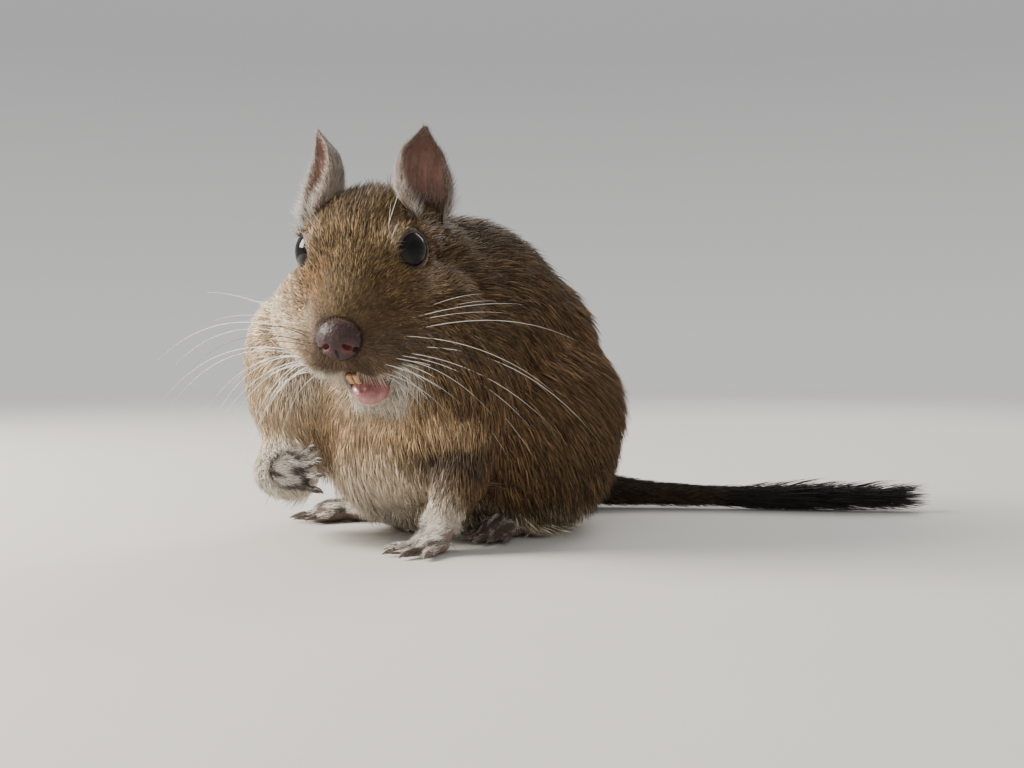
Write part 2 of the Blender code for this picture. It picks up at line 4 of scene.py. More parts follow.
import bmesh
import bpy
import numpy as np
from bpy.props import FloatProperty, FloatVectorProperty, IntProperty, PointerProperty
from mathutils import Matrix, Vector


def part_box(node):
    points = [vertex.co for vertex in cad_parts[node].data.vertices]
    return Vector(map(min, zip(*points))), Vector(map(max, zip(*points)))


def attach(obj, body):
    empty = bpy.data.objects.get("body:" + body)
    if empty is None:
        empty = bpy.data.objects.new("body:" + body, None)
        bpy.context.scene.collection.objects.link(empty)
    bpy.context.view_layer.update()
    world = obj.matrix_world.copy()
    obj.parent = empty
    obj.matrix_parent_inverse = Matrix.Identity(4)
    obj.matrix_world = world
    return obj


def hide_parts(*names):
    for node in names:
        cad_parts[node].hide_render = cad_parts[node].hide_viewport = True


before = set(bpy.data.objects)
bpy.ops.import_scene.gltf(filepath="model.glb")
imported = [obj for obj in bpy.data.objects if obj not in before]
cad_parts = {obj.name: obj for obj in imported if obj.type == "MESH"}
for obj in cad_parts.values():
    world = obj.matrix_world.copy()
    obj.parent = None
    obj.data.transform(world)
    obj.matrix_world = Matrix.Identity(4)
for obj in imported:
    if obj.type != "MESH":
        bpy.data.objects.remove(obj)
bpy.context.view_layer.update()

bl_info = {
    "name": "Seated degu",
    "version": (1, 0, 0),
    "blender": (4, 5, 0),
    "location": "3D View > Sidebar > Degu",
    "description": "Skin, coat, face, feet, whiskers and stage of a life-size seated degu",
    "category": "Add Mesh",
}

# Places are in millimetres, either in the body's frame (x to the animal's left, y to its rump, z up)
# or in the head's frame (x to its left, y back from the nose tip, z up across the muzzle). Both are
# the frames that the solids are built in; BODY and HEAD turn them into the row's frame in metres.

MM = 0.001
SEED = 7
NOSE_TIP = (23.2, -60.4, 52.5)
HEAD_TURN = 31.0
HEAD_BOW = 35.0
EYE_RADIUS = 5.5
EYE_CENTRE = (12.0, 27.2, 9.8)
EYE_GAZE = (0.82, -0.48, 0.28)
EAR_ROOT = (15.0, 40.5, 13.4)
EAR_LENGTH = 24.5
EAR_SUNK = 3.0
EAR_OPENING = 47.0
EAR_LEAN_BACK = 0.57
TAIL_ROUTE = ((2, 46, 13), (6, 58, 7), (19, 70, 4.6), (37, 84, 4.0), (57, 99.5, 4.0), (82, 118, 4.6))
TAIL_RADII = (9.0, 6.0, 4.4, 3.7, 3.1, 1.6)
TUFT_START = 0.68
CAMERA_PLACE = (247.9, -240.4, 55.0)
CAMERA_AZIMUTH = 43.0
CAMERA_DIP = 2.29

# Bare places of the head, each an ellipsoid's centre and radii in the head's frame.
MOUTH = ((1.2, 8.4, -16.6), (6.4, 9.4, 4.4))
NOSE_PAD = ((0, 1.2, 0.9), (6.2, 4.9, 5.4))
INNER_LIP = ((2.2, 8.8, -19.6), (5.8, 5.4, 3.4))
LIP_ROOT = ((1.8, 14.0, -18.8), (5.4, 6.0, 3.0))
MOUTH_RED = (0.16, 0.03, 0.03)

FLESH = (
    "head", "neck", "torso", "upper_arm_left", "upper_arm_right", "forearm_left", "forearm_right",
    "thigh_left", "thigh_right", "tail_base", "tail_middle",
)
HANDS_AND_FEET = ("forepaw_left", "forepaw_right", "hind_foot_left", "hind_foot_right")


def head_pose():
    place = Matrix.Translation(Vector(NOSE_TIP))
    turn = Matrix.Rotation(math.radians(HEAD_TURN), 4, "Z")
    bow = Matrix.Rotation(math.radians(HEAD_BOW), 4, "X")
    return place @ turn @ bow


def body_pose():
    """The solids are slid so that their box is centred; the left eye tells by how much."""
    low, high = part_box("eye_left")
    unslid = MM * (head_pose() @ Vector(EYE_CENTRE))
    return Matrix.Translation((low + high) / 2 - unslid) @ Matrix.Scale(MM, 4)


BODY = body_pose()
HEAD = BODY @ head_pose()


def into(frame_of, points):
    """Points of the row's frame, as an array, in one of the two millimetre frames."""
    inverse = np.array(frame_of.inverted())
    return points @ inverse[:3, :3].T + inverse[:3, 3]


def heading(frame_of, direction):
    """A direction of a millimetre frame as a unit vector of the row's frame."""
    turned = frame_of.to_3x3() @ Vector(direction)
    return np.array(turned.normalized())


# The coat's guides. Near each place the hair lies along lie, is length long and stands depth deep.
Guide = namedtuple("Guide", "frame place lie length depth reach")


def head_guides():
    guides = [
        Guide(HEAD, (0, 3, 5), (0, 1, 0.1), 1.5, 0.45, 5),
        Guide(HEAD, (0, 14, 12), (0, 1, 0.1), 2.6, 0.7, 8),
        Guide(HEAD, (0, 27, 18), (0, 1, 0.0), 3.8, 0.8, 9),
        Guide(HEAD, (0, 40, 19), (0, 1, -0.1), 4.8, 0.8, 9),
        Guide(HEAD, (0, 50, 10), (0, 1, -0.3), 7.0, 2.4, 10),
        Guide(HEAD, (1.6, 8, -26), (0, 0.5, -0.9), 2.2, 0.7, 6),
        Guide(HEAD, (0, 24, -27), (0, 0.8, -0.6), 5.0, 1.6, 10),
    ]
    for side in (-1, 1):
        guides += [
            Guide(HEAD, (side * 7, 8, 4), (side * 0.35, 1, 0), 1.5, 0.5, 5),
            Guide(HEAD, (side * 10, 10, -6), (side * 0.8, 0.6, -0.45), 1.9, 0.6, 6),
            Guide(HEAD, (side * 5, 3, -9), (side * 0.5, 0.2, -0.9), 1.4, 0.35, 4.5),
            Guide(HEAD, (side * 5, 3.5, -14), (side * 0.3, -0.1, -1), 4.0, 0.2, 4),
            Guide(HEAD, (side * 8.5, 3.0, -11), (side * 0.5, 0.1, -1), 3.2, 0.4, 4),
            Guide(HEAD, (side * 17, 20, -6), (side * 0.5, 0.8, -0.45), 3.2, 1.0, 8),
            Guide(HEAD, (side * 26, 30, -10), (side * 0.2, 0.9, -0.55), 5.0, 1.8, 10),
            Guide(HEAD, (side * 22, 42, -8), (0, 1, -0.4), 6.5, 2.2, 10),
            Guide(HEAD, (side * 15, 20, 5), (side * 0.35, 1, -0.3), 2.1, 0.65, 6),
            Guide(HEAD, (side * 12, 30, 17), (side * 0.2, 1, 0.1), 2.3, 0.75, 6),
            Guide(HEAD, (side * 15, 38, 14), (side * 0.2, 0.8, 0.5), 2.8, 0.4, 6),
            Guide(HEAD, (side * 15, 41, 12), (side * 0.45, 0.3, 1), 5.5, 0.0, 5),
            Guide(HEAD, (side * 12, 18, -22), (side * 0.4, 0.6, -0.7), 3.8, 1.2, 8),
            Guide(HEAD, (side * 20, 32, 4), (side * 0.1, 1, -0.2), 3.0, 0.9, 7),
        ]
    return guides


def body_guides():
    guides = [
        Guide(BODY, (0, -5, 90), (0, 1, 0.1), 9, 3.0, 18),
        Guide(BODY, (0, 20, 86), (0, 1, -0.3), 10, 3.2, 20),
        Guide(BODY, (0, 50, 58), (0, 0.6, -1), 11, 3.4, 20),
        Guide(BODY, (0, 58, 25), (0, 0.4, -1), 10, 3.0, 16),
        Guide(BODY, (34, -26, 50), (0.3, 0.15, -1), 8, 2.6, 14),
        Guide(BODY, (-38, -38, 42), (-0.15, 0.0, -1), 6.5, 2.2, 12),
        Guide(BODY, (-32, -46, 60), (-0.35, 0.1, -1), 4.5, 1.6, 12),
        Guide(BODY, (4, -44, 42), (0.05, 0.1, -1), 8, 2.4, 12),
        Guide(BODY, (8, -42, 25), (0.1, 0, -1), 8.5, 2.4, 12),
        Guide(BODY, (8, -32, 8), (0, 0.2, -1), 7, 1.8, 9),
        Guide(BODY, (-30, -46, 28), (0.3, -0.1, -0.95), 6, 1.8, 9),
        Guide(BODY, (-18, -50, 20), (0.75, -0.1, -0.6), 5.5, 1.2, 8),
        Guide(BODY, (-12, -52, 20), (1, -0.2, 0.05), 5.0, 0.1, 6),
        Guide(BODY, (38, -30, 35), (0, -0.1, -1), 6.5, 2.0, 10),
        Guide(BODY, (30, -34, 15), (0, -0.1, -1), 4.0, 1.1, 7),
        Guide(BODY, (27.5, -34, 6.5), (0, -0.3, -1), 3.0, 0.1, 5),
        Guide(BODY, (32, -14, 70), (0.5, 0.7, -0.6), 8, 2.6, 12),
        Guide(BODY, (-18, -20, 76), (-0.4, 0.8, -0.4), 8, 2.6, 12),
        Guide(BODY, (0, 0, -6), (0, 1, 0), 4, 0.3, 9),
        Guide(BODY, (-12, -28, 12), (-0.6, -0.5, -0.9), 8, 1.4, 8),
    ]
    for side in (-1, 1):
        guides += [
            Guide(BODY, (side * 38, 15, 48), (side * 0.1, 0.6, -0.9), 10, 3.2, 20),
            Guide(BODY, (side * 42, 5, 22), (0, 0.35, -1), 9, 2.8, 15),
            Guide(BODY, (side * 34, 30, 6), (0, 0.6, -0.6), 7, 1.6, 10),
        ]
    for i in range(14):
        t = 0.12 + 0.88 * i / 13
        spot, _ = tail_point(t)
        guides.append(Guide(BODY, tuple(spot), tuple(tail_run(t)), 3.6, 0.8, 6))
    return guides


# Loose parts of the coat, where the hair is longer by a share and stands steeper by some degrees.
Puff = namedtuple("Puff", "frame place reach longer steeper")
PUFFS = (
    Puff(HEAD, (-11.5, 31, 17), 6.5, 0.55, 24), Puff(HEAD, (9, 31, 19), 6, 0.3, 12),
    Puff(HEAD, (0, 42, 19), 11, 0.45, 17), Puff(HEAD, (-16, 22, 4), 5, 0.25, 14),
    Puff(BODY, (-13, -30, 11), 10, 0.7, 32), Puff(HEAD, (-8, 2.5, -11), 4, 0.1, 8),
    Puff(BODY, (-7, -40, 21), 8, 0.5, 26), Puff(BODY, (-16, -51, 20), 6, 0.2, 7),
)


def puffed(points):
    """How much longer, and by how many degrees steeper, the hair is at points of the row's frame."""
    longer = np.ones(len(points))
    steeper = np.zeros(len(points))
    for puff in PUFFS:
        away = points - np.array(puff.frame @ Vector(puff.place))
        share = np.exp(-((away**2).sum(1)) / (puff.reach * MM) ** 2)
        longer += puff.longer * share
        steeper += puff.steeper * share
    return longer, steeper


def tail_point(t):
    """A place and a radius along the tail, by a smooth curve through the route's points."""
    count = len(TAIL_ROUTE) - 1
    at = min(t, 0.9999) * count
    i = int(at)
    s = at - i
    a, b, c, d = [Vector(TAIL_ROUTE[min(max(k, 0), count)]) for k in (i - 1, i, i + 1, i + 2)]
    square = 2 * a - 5 * b + 4 * c - d
    cube = 3 * b - a - 3 * c + d
    place = 0.5 * (2 * b + (c - a) * s + square * s * s + cube * s**3)
    return place, TAIL_RADII[i] + (TAIL_RADII[i + 1] - TAIL_RADII[i]) * s


def tail_run(t):
    """A short step along the tail, in the body's millimetres."""
    return tail_point(min(t + 0.02, 1.0))[0] - tail_point(t - 0.02)[0]


def tail_axes(t):
    """Unit vectors along the tail, to its side and upwards."""
    ahead = tail_run(t).normalized()
    side = ahead.cross(Vector((0, 0, 1))).normalized()
    return ahead, side, side.cross(ahead)


def coat_fields(points):
    """The lie, length and depth of the coat at points of the row's frame, lengths in metres."""
    guides = head_guides() + body_guides()
    lie = np.zeros_like(points)
    length = np.zeros(len(points))
    depth = np.zeros(len(points))
    total = np.zeros(len(points))
    for guide in guides:
        away = points - np.array(guide.frame @ Vector(guide.place))
        weight = np.exp(-((away**2).sum(1)) / (guide.reach * MM) ** 2) + 1e-9
        lie += weight[:, None] * heading(guide.frame, guide.lie)
        length += weight * guide.length
        depth += weight * guide.depth
        total += weight
    return lie / total[:, None], MM * length / total, MM * depth / total


def ripple(points, wave, seed, channels=3):
    """A smooth, seeded wobble of points between about -1 and 1, with features wave metres long."""
    draw = np.random.default_rng(seed)
    value = np.zeros((len(points), channels))
    for channel in range(channels):
        for _ in range(5):
            turn = draw.normal(size=3)
            turn *= 2 * math.pi / (wave * np.linalg.norm(turn)) * draw.uniform(0.6, 1.5)
            value[:, channel] += np.sin(points @ turn + draw.uniform(0, 2 * math.pi))
    return value / 3.0


# The coat's markings. Each patch is an ellipsoid with soft edges that takes the colour over.
Patch = namedtuple("Patch", "frame centre radii soft colour amount")


def markings():
    patches = [
        Patch(BODY, (0, 15, 45), (60, 70, 28), 0.5, "flank", 0.6),
        Patch(BODY, (0, 15, 92), (30, 66, 30), 0.6, "back", 1.0),
        Patch(BODY, (0, 55, 50), (24, 22, 42), 0.6, "back", 0.9),
        Patch(BODY, (6, -42, 36), (24, 16, 26), 0.5, "chest", 0.9),
        Patch(BODY, (30, -20, 62), (16, 14, 16), 0.5, "back", 0.7),
        # On the animal's right front, the fawn and cream patches are its pale shoulder and chest fur made
        # paler still with painted sunlight.
        Patch(BODY, (-31, -47, 44), (13, 11, 20), 0.6, "fawn", 0.9),
        Patch(BODY, (-19, -50, 36), (13, 10, 15), 0.5, "cream", 0.9),
        Patch(BODY, (-26, -51, 62), (13, 12, 12), 0.6, "cream", 0.9),
        Patch(BODY, (4, -33, 13), (22, 18, 14), 0.6, "belly", 1.0),
        Patch(BODY, (0, 0, 2), (42, 52, 10), 0.5, "belly", 0.9),
        Patch(BODY, (-12, -28, 10), (15, 14, 11), 0.5, "white", 0.9),
        # A further cream patch on the right: pale fur made paler with painted sunlight.
        Patch(BODY, (-22, -49, 24), (14, 11, 11), 0.5, "cream", 0.9),
        Patch(BODY, (-14, -50, 18), (12, 9, 11), 0.5, "white", 1.0),
        Patch(BODY, (27, -34, 8), (8, 9, 11), 0.5, "white", 0.9),
        Patch(BODY, (36, -34, 33), (12, 10, 5), 0.5, "chest", 0.7),
        Patch(BODY, (33, -31, 25.5), (15, 11, 4.8), 0.7, "elbow", 0.9),
        Patch(HEAD, (0, 28, 16), (15, 26, 12), 0.5, "crown", 1.0),
        Patch(HEAD, (0, 42, 20), (12, 14, 8), 0.5, "back", 0.5),
        Patch(HEAD, (0, 12, 10), (7, 10, 8), 0.5, "crown", 0.9),
        # The right cheek and muzzle are pale fur made paler still with painted sunlight, in the cream and
        # white patches below.
        Patch(HEAD, (-20, 24, -9), (14, 15, 14), 0.6, "cream", 0.85),
        Patch(HEAD, (-15, 14, -9), (11, 12, 12), 0.5, "cream", 0.95),
        Patch(HEAD, (-12, 16, -20), (14, 18, 10), 0.5, "white", 0.9),
        Patch(HEAD, (-16, 18, 4), (6, 9, 6), 0.5, "cheek", 0.8),
        Patch(HEAD, (-8, 15, 8), (4, 7, 4), 0.5, "ginger", 0.6),
        # On the left, the weak cheek patch and the brown muzzle patch keep that side darker than the right:
        # painted shade.
        Patch(HEAD, (20, 28, -8), (15, 18, 15), 0.5, "cheek", 0.3),
        Patch(HEAD, (14, 13, -9), (10, 11, 9), 0.5, "muzzle", 0.8),
        Patch(HEAD, (9, 10, -17), (6, 8, 4), 0.5, "white", 0.8),
        Patch(HEAD, (0, 26, -30), (18, 15, 9), 0.5, "chest", 0.95),
    ]
    for side in (-1, 1):
        patches += [
            Patch(HEAD, (side * 7, 5, -14), (6, 7, 5), 0.5, "white", 0.9),
            Patch(HEAD, (side * 7, 7, -4), (5, 7, 5), 0.5, "muzzle", 0.85),
            Patch(HEAD, (side * 11, 21.5, 16.5), (4.0, 5.5, 3.5), 0.4, "eye_ring", 0.9),
            Patch(HEAD, (side * 17.5, 24, 2.5), (3.6, 6.0, 2.6), 0.4, "eye_ring", 0.5),
            Patch(HEAD, (side * 4.5, 1.5, 2), (3.4, 4.2, 5), 0.5, "nose_rim", 0.85),
            Patch(HEAD, (side * 3.4, 1.0, -8.0), (3.8, 4.4, 4.4), 0.5, "nose_rim", 0.8),
        ]
    patches += [
        Patch(HEAD, (-8.5, 3.0, -11.5), (6.5, 5.5, 3.6), 0.45, "white", 1.0),
        Patch(HEAD, (1.6, 9, -24), (6.5, 7, 3.2), 0.4, "white", 1.0),
        Patch(HEAD, (-5, 9, -20), (3.5, 7, 5), 0.4, "white", 1.0),
        Patch(HEAD, (9, 9, -19), (3.0, 7, 5), 0.4, "white", 1.0),
    ]
    for i in range(12):
        t = 0.1 + 0.9 * i / 11
        spot, radius = tail_point(t)
        colour = "brush" if t > 0.6 else "tail"
        reach = radius + 6.0
        patches.append(Patch(BODY, tuple(spot), (reach, reach, reach), 0.5, colour, 0.95))
    return patches


def marking_at(points, colours):
    """Colour (three channels) and how dark the hair tips are, at points of the row's frame."""
    value = np.tile(np.array(colours["coat"], float), (len(points), 1))
    wander = ripple(points, 0.012, SEED + 1) * 1.6
    in_body = into(BODY, points) + wander
    in_head = into(HEAD, points) + wander * 0.5
    for patch in markings():
        seen = in_body if patch.frame is BODY else in_head
        away = (seen - np.array(patch.centre)) / np.array(patch.radii)
        distance = np.sqrt((away**2).sum(1))
        share = np.clip((1 + patch.soft - distance) / (2 * patch.soft), 0, 1)
        share = patch.amount * share * share * (3 - 2 * share)
        value += share[:, None] * (np.array(colours[patch.colour]) - value)
    return value


def ellipsoid_holds(points, centre, radii):
    """Which points of the row's frame lie in an ellipsoid of the head's frame."""
    away = (into(HEAD, points) - np.array(centre)) / np.array(radii)
    return (away**2).sum(1) < 1.0


def whisker_place(side, row, column):
    """Where a whisker of the muzzle has its root, in the head's millimetres."""
    return side * (13.0 - 1.3 * column), 14.0 - 2.3 * column, -2.5 - 2.3 * row


def whisker_dots(points):
    """1 on the dark dots round the whiskers' roots, and 0 away from them."""
    own = into(HEAD, points)
    dots = np.zeros(len(points))
    for side in (-1, 1):
        for row in range(5):
            for column in range(5):
                away = own - np.array(whisker_place(side, row, column))
                away[:, 0] *= 0.4
                dots = np.maximum(dots, np.exp(-(away**2).sum(1) / 0.75**2))
    return dots


def is_bare(points):
    """Where no hair grows: the eyes, the nose pad, the inside of the mouth and the inner lip."""
    bare = np.zeros(len(points), bool)
    for side in (-1, 1):
        centre = (side * EYE_CENTRE[0], *EYE_CENTRE[1:])
        bare |= ellipsoid_holds(points, centre, (EYE_RADIUS + 0.1,) * 3)
    for place in (NOSE_PAD, MOUTH, INNER_LIP, LIP_ROOT):
        bare |= ellipsoid_holds(points, *place)
    return bare


def new_object(name, mesh):
    made = bpy.data.objects.new(name, mesh)
    bpy.context.scene.collection.objects.link(made)
    return made


def object_from(name, bm, smooth=True):
    """A new object with the faces of a bmesh, which is freed."""
    mesh = bpy.data.meshes.new(name)
    bm.to_mesh(mesh)
    bm.free()
    if smooth:
        mesh.shade_smooth()
    return new_object(name, mesh)


def tube(bm, rings, capped=True):
    """Joins a stack of rings of vertices into a tube, which is capped or ends on its first ring."""
    count = len(rings[0])
    for low, high in zip(rings, rings[1:]):
        for k in range(count):
            bm.faces.new((low[k], low[(k + 1) % count], high[(k + 1) % count], high[k]))
    if capped:
        bm.faces.new(rings[0])
        bm.faces.new(reversed(rings[-1]))
    bmesh.ops.recalc_face_normals(bm, faces=bm.faces)


def applied(thing):
    """Applies a piece's modifiers."""
    graph = bpy.context.evaluated_depsgraph_get()
    graph.update()
    mesh = bpy.data.meshes.new_from_object(thing.evaluated_get(graph))
    thing.modifiers.clear()
    old = thing.data
    thing.data = mesh
    bpy.data.meshes.remove(old)


def copy_of_nodes(name, nodes):
    """One new object with a merged copy of some CAD nodes."""
    bm = bmesh.new()
    for node in nodes:
        bm.from_mesh(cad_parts[node].data)
    bmesh.ops.remove_doubles(bm, verts=bm.verts, dist=1e-6)
    return object_from(name, bm, smooth=False)


def melted(thing, voxel, passes):
    """Voxel remesh and smoothing, applied, and only the outermost surface kept."""
    remesh = thing.modifiers.new("melt", "REMESH")
    remesh.mode = "VOXEL"
    remesh.voxel_size = voxel * MM
    smooth = thing.modifiers.new("relax", "SMOOTH")
    smooth.factor = 0.5
    smooth.iterations = passes
    applied(thing)
    keep_largest(thing)


def keep_largest(thing):
    """Drops every loose surface of a piece but the one with the most faces."""
    bm = bmesh.new()
    bm.from_mesh(thing.data)
    left = set(bm.faces)
    biggest = []
    while left:
        island, waiting = [], [left.pop()]
        while waiting:
            face = waiting.pop()
            island.append(face)
            for edge in face.edges:
                for other in edge.link_faces:
                    if other in left:
                        left.remove(other)
                        waiting.append(other)
        if len(island) > len(biggest):
            biggest = island
    kept = set(biggest)
    spare = [face for face in bm.faces if face not in kept]
    bmesh.ops.delete(bm, geom=spare, context="FACES")
    bm.to_mesh(thing.data)
    bm.free()


def spots_of(mesh):
    spots = np.empty(len(mesh.vertices) * 3)
    mesh.vertices.foreach_get("co", spots)
    return spots.reshape(-1, 3)


def above_floor(thing):
    """Lifts what melting has pushed under the floor up to it, and gives the places."""
    spots = spots_of(thing.data)
    spots[:, 2] = np.maximum(spots[:, 2], 0.0)
    thing.data.vertices.foreach_set("co", spots.ravel())
    return spots


def normals_of(mesh):
    normals = np.empty(len(mesh.vertices) * 3)
    mesh.vertex_normals.foreach_get("vector", normals)
    return normals.reshape(-1, 3)


def evened(values, edges, rounds):
    """Values at the corners, averaged with their neighbours' some times over."""
    count = np.bincount(edges.ravel(), minlength=len(values))[:, None]
    for _ in range(rounds):
        total = np.zeros_like(values)
        for channel in range(values.shape[1]):
            total[:, channel] = np.bincount(edges[:, 0], values[edges[:, 1], channel], len(values))
            total[:, channel] += np.bincount(edges[:, 1], values[edges[:, 0], channel], len(values))
        values = values + 0.5 * (total / count - values)
    return values


def sink(thing, depth_at, steps=4):
    """Moves the surface in along its normals by a depth that depends on the place."""
    mesh = thing.data
    edges = np.empty(len(mesh.edges) * 2, np.int64)
    mesh.edges.foreach_get("vertices", edges)
    edges = edges.reshape(-1, 2)
    depth = depth_at(spots_of(mesh))
    for _ in range(steps):
        spots = spots_of(mesh)
        moved = spots - normals_of(mesh) * (depth / steps)[:, None]
        moved = evened(moved, edges, 1)
        mesh.vertices.foreach_set("co", moved.ravel())
        mesh.update()


def unwrapped(thing):
    """Gives a piece the OFBake map, an unwrap of its own shape."""
    mesh = thing.data
    if "OFBake" not in mesh.uv_layers:
        mesh.uv_layers.new(name="OFBake")
    bpy.ops.object.select_all(action="DESELECT")
    bpy.context.view_layer.objects.active = thing
    thing.select_set(True)
    bpy.ops.object.mode_set(mode="EDIT")
    bpy.ops.mesh.select_all(action="SELECT")
    bpy.ops.uv.smart_project(angle_limit=math.radians(66), island_margin=0.002)
    bpy.ops.object.mode_set(mode="OBJECT")


def paint(mesh, name, values):
    """Stores a colour for every corner of a mesh."""
    if name in mesh.attributes:
        mesh.attributes.remove(mesh.attributes[name])
    layer = mesh.attributes.new(name, "FLOAT_COLOR", "POINT")
    full = np.ones((len(values), 4), np.float32)
    full[:, : values.shape[1]] = values
    layer.data.foreach_set("color", full.ravel())


def paint_all(thing, colour):
    """One marking colour for a whole piece."""
    paint(thing.data, "marking", np.tile(np.array(colour), (len(thing.data.vertices), 1)))


Roots = namedtuple("Roots", "spots normals uvs")


def scatter(thing, per_square_mm, draw):
    """Even, seeded hair roots over a piece, per_square_mm(points) of them on each square mm."""
    mesh = thing.data
    mesh.calc_loop_triangles()
    corners = np.empty(len(mesh.loop_triangles) * 3, np.int64)
    mesh.loop_triangles.foreach_get("vertices", corners)
    corners = corners.reshape(-1, 3)
    loops = np.empty(len(mesh.loop_triangles) * 3, np.int64)
    mesh.loop_triangles.foreach_get("loops", loops)
    loops = loops.reshape(-1, 3)
    uvs = np.empty(len(mesh.loops) * 2)
    mesh.uv_layers["OFBake"].data.foreach_get("uv", uvs)
    uvs = uvs.reshape(-1, 2)
    spots, normals = spots_of(mesh), normals_of(mesh)
    a, b, c = (spots[corners[:, k]] for k in range(3))
    area = 0.5 * np.linalg.norm(np.cross(b - a, c - a), axis=1) / MM**2
    wanted = np.cumsum(area * per_square_mm((a + b + c) / 3))
    count = int(wanted[-1])
    chosen = np.searchsorted(wanted, np.arange(count) + draw.uniform(0, 1, count))
    chosen = np.minimum(chosen, len(corners) - 1)
    r = np.sqrt(draw.uniform(0, 1, count))
    s = draw.uniform(0, 1, count)
    shares = np.stack([1 - r, r * (1 - s), r * s], 1)[:, :, None]
    where = (spots[corners[chosen]] * shares).sum(1)
    facing = (normals[corners[chosen]] * shares).sum(1)
    facing /= np.linalg.norm(facing, axis=1)[:, None]
    unwrap = (uvs[loops[chosen]] * shares).sum(1)
    return Roots(where, facing, unwrap)


def picked(roots, mask):
    return Roots(roots.spots[mask], roots.normals[mask], roots.uvs[mask])


def flattened(lie, normals):
    along = lie - normals * (lie * normals).sum(1)[:, None]
    size = np.linalg.norm(along, axis=1)[:, None]
    return along / np.maximum(size, 1e-9)


TUFT_PATCH = 0.0015


def tuft_mesh(name, roots, lie, length, width, rise, marking, tipping, draw, bent):
    """A piece of coat: every root gets a closed, tapered, three-sided tuft along the lie."""
    count = len(roots.spots)
    normal = roots.normals
    along = flattened(lie, normal)
    across = np.cross(normal, along)
    length, width, rise = length[:, None], width[:, None], rise[:, None]
    base = roots.spots - normal * width * 0.6
    first = along * np.cos(rise) + normal * np.sin(rise)
    fall = rise * 0.3 if bent else rise
    second = along * np.cos(fall) + normal * np.sin(fall)
    rings = [(base, 0.38, 0.0)]
    if bent:
        rings.append((base + first * length * 0.5, 0.5, 0.5))
        tip = base + first * length * 0.5 + second * length * 0.5
    else:
        tip = base + first * length
    parts, shares, uv = [], [], []
    for middle, wide, share in rings:
        parts += [middle + across * width * wide, middle - across * width * wide]
        parts.append(middle + normal * width * wide * 0.8)
        shares += [share] * 3
        uv += [(-1, 2 * share - 1), (1, 2 * share - 1), (0, 2 * share - 1)]
    parts.append(tip)
    shares.append(1.0)
    uv.append((0, 1))
    corners = len(parts)
    spots = np.stack(parts, 1).reshape(-1, 3)
    spots[:, 2] = np.maximum(spots[:, 2], 0.00015)
    faces = [(0, 1, 2)]
    if bent:
        faces += [(0, 3, 4, 1), (1, 4, 5, 2), (2, 5, 3, 0)]
    last, top = corners - 4, corners - 1
    faces += [(last, top, last + 1), (last + 1, top, last + 2), (last + 2, top, last)]
    sizes = np.tile([len(face) for face in faces], count)
    pattern = np.concatenate(faces)
    loops = (np.arange(count)[:, None] * corners + pattern).ravel()
    mesh = bpy.data.meshes.new(name)
    mesh.vertices.add(len(spots))
    mesh.vertices.foreach_set("co", spots.ravel())
    mesh.loops.add(len(loops))
    mesh.loops.foreach_set("vertex_index", loops.astype(np.int32))
    mesh.polygons.add(len(sizes))
    starts = np.concatenate([[0], np.cumsum(sizes)[:-1]])
    mesh.polygons.foreach_set("loop_start", starts.astype(np.int32))
    mesh.update(calc_edges=True)
    mesh.polygons.foreach_set("use_smooth", np.ones(len(sizes), bool))
    layer = mesh.uv_layers.new(name="OFBake")
    patch = np.array(uv) * TUFT_PATCH
    flat = (roots.uvs[:, None, :] + patch[pattern][None, :, :]).reshape(-1, 2)
    layer.data.foreach_set("uv", flat.ravel())
    paint(mesh, "marking", np.repeat(marking, corners, axis=0))
    luck = draw.uniform(0, 1, count)
    strand = np.stack([np.tile(shares, count), np.repeat(luck, corners), np.repeat(tipping, corners)], 1)
    paint(mesh, "strand", strand)
    return new_object(name, mesh)


def short_hair(name, roots, lie, length, width, degrees, value, draw):
    """Straight, plain-tipped tufts of one width, which stand some degrees from the surface."""
    count = len(roots.spots)
    widths = np.full(count, width) * MM
    rise = np.radians(degrees)
    return tuft_mesh(name, roots, lie, length, widths, rise, value, np.zeros(count), draw, False)


def shader_of(name, roughness):
    """A new Principled material, its node tree and its shader."""
    made = bpy.data.materials.new(name)
    made.use_nodes = True
    shader = made.node_tree.nodes["Principled BSDF"]
    shader.inputs["Roughness"].default_value = roughness
    return made, made.node_tree, shader


def node(tree, kind, **settings):
    made = tree.nodes.new(kind)
    for key, value in settings.items():
        setattr(made, key, value)
    return made


def attribute(tree, name):
    return node(tree, "ShaderNodeAttribute", attribute_name=name)


def noise(tree, scale, detail=3.0, stretch=None):
    """Noise on object coordinates, which are the row's frame in metres."""
    coordinates = node(tree, "ShaderNodeTexCoord")
    made = node(tree, "ShaderNodeTexNoise")
    set_inputs(made, {"Scale": scale, "Detail": detail})
    if stretch:
        mapping = node(tree, "ShaderNodeMapping")
        mapping.inputs["Scale"].default_value = stretch
        tree.links.new(coordinates.outputs["Object"], mapping.inputs["Vector"])
        tree.links.new(mapping.outputs["Vector"], made.inputs["Vector"])
    else:
        tree.links.new(coordinates.outputs["Object"], made.inputs["Vector"])
    return made.outputs["Fac"]


def set_inputs(made, values):
    """Sets a node's inputs by their names."""
    for name, value in values.items():
        made.inputs[name].default_value = value


def ramp(tree, source, *stops):
    """A colour ramp over a socket; a stop is a place and a grey or a colour."""
    made = node(tree, "ShaderNodeValToRGB")
    band = made.color_ramp
    while len(band.elements) < len(stops):
        band.elements.new(0.5)
    for element, (place, colour) in zip(band.elements, stops):
        element.position = place
        element.color = (*colour, 1.0) if isinstance(colour, tuple) else (colour, colour, colour, 1.0)
    tree.links.new(source, made.inputs["Fac"])
    return made.outputs["Color"]


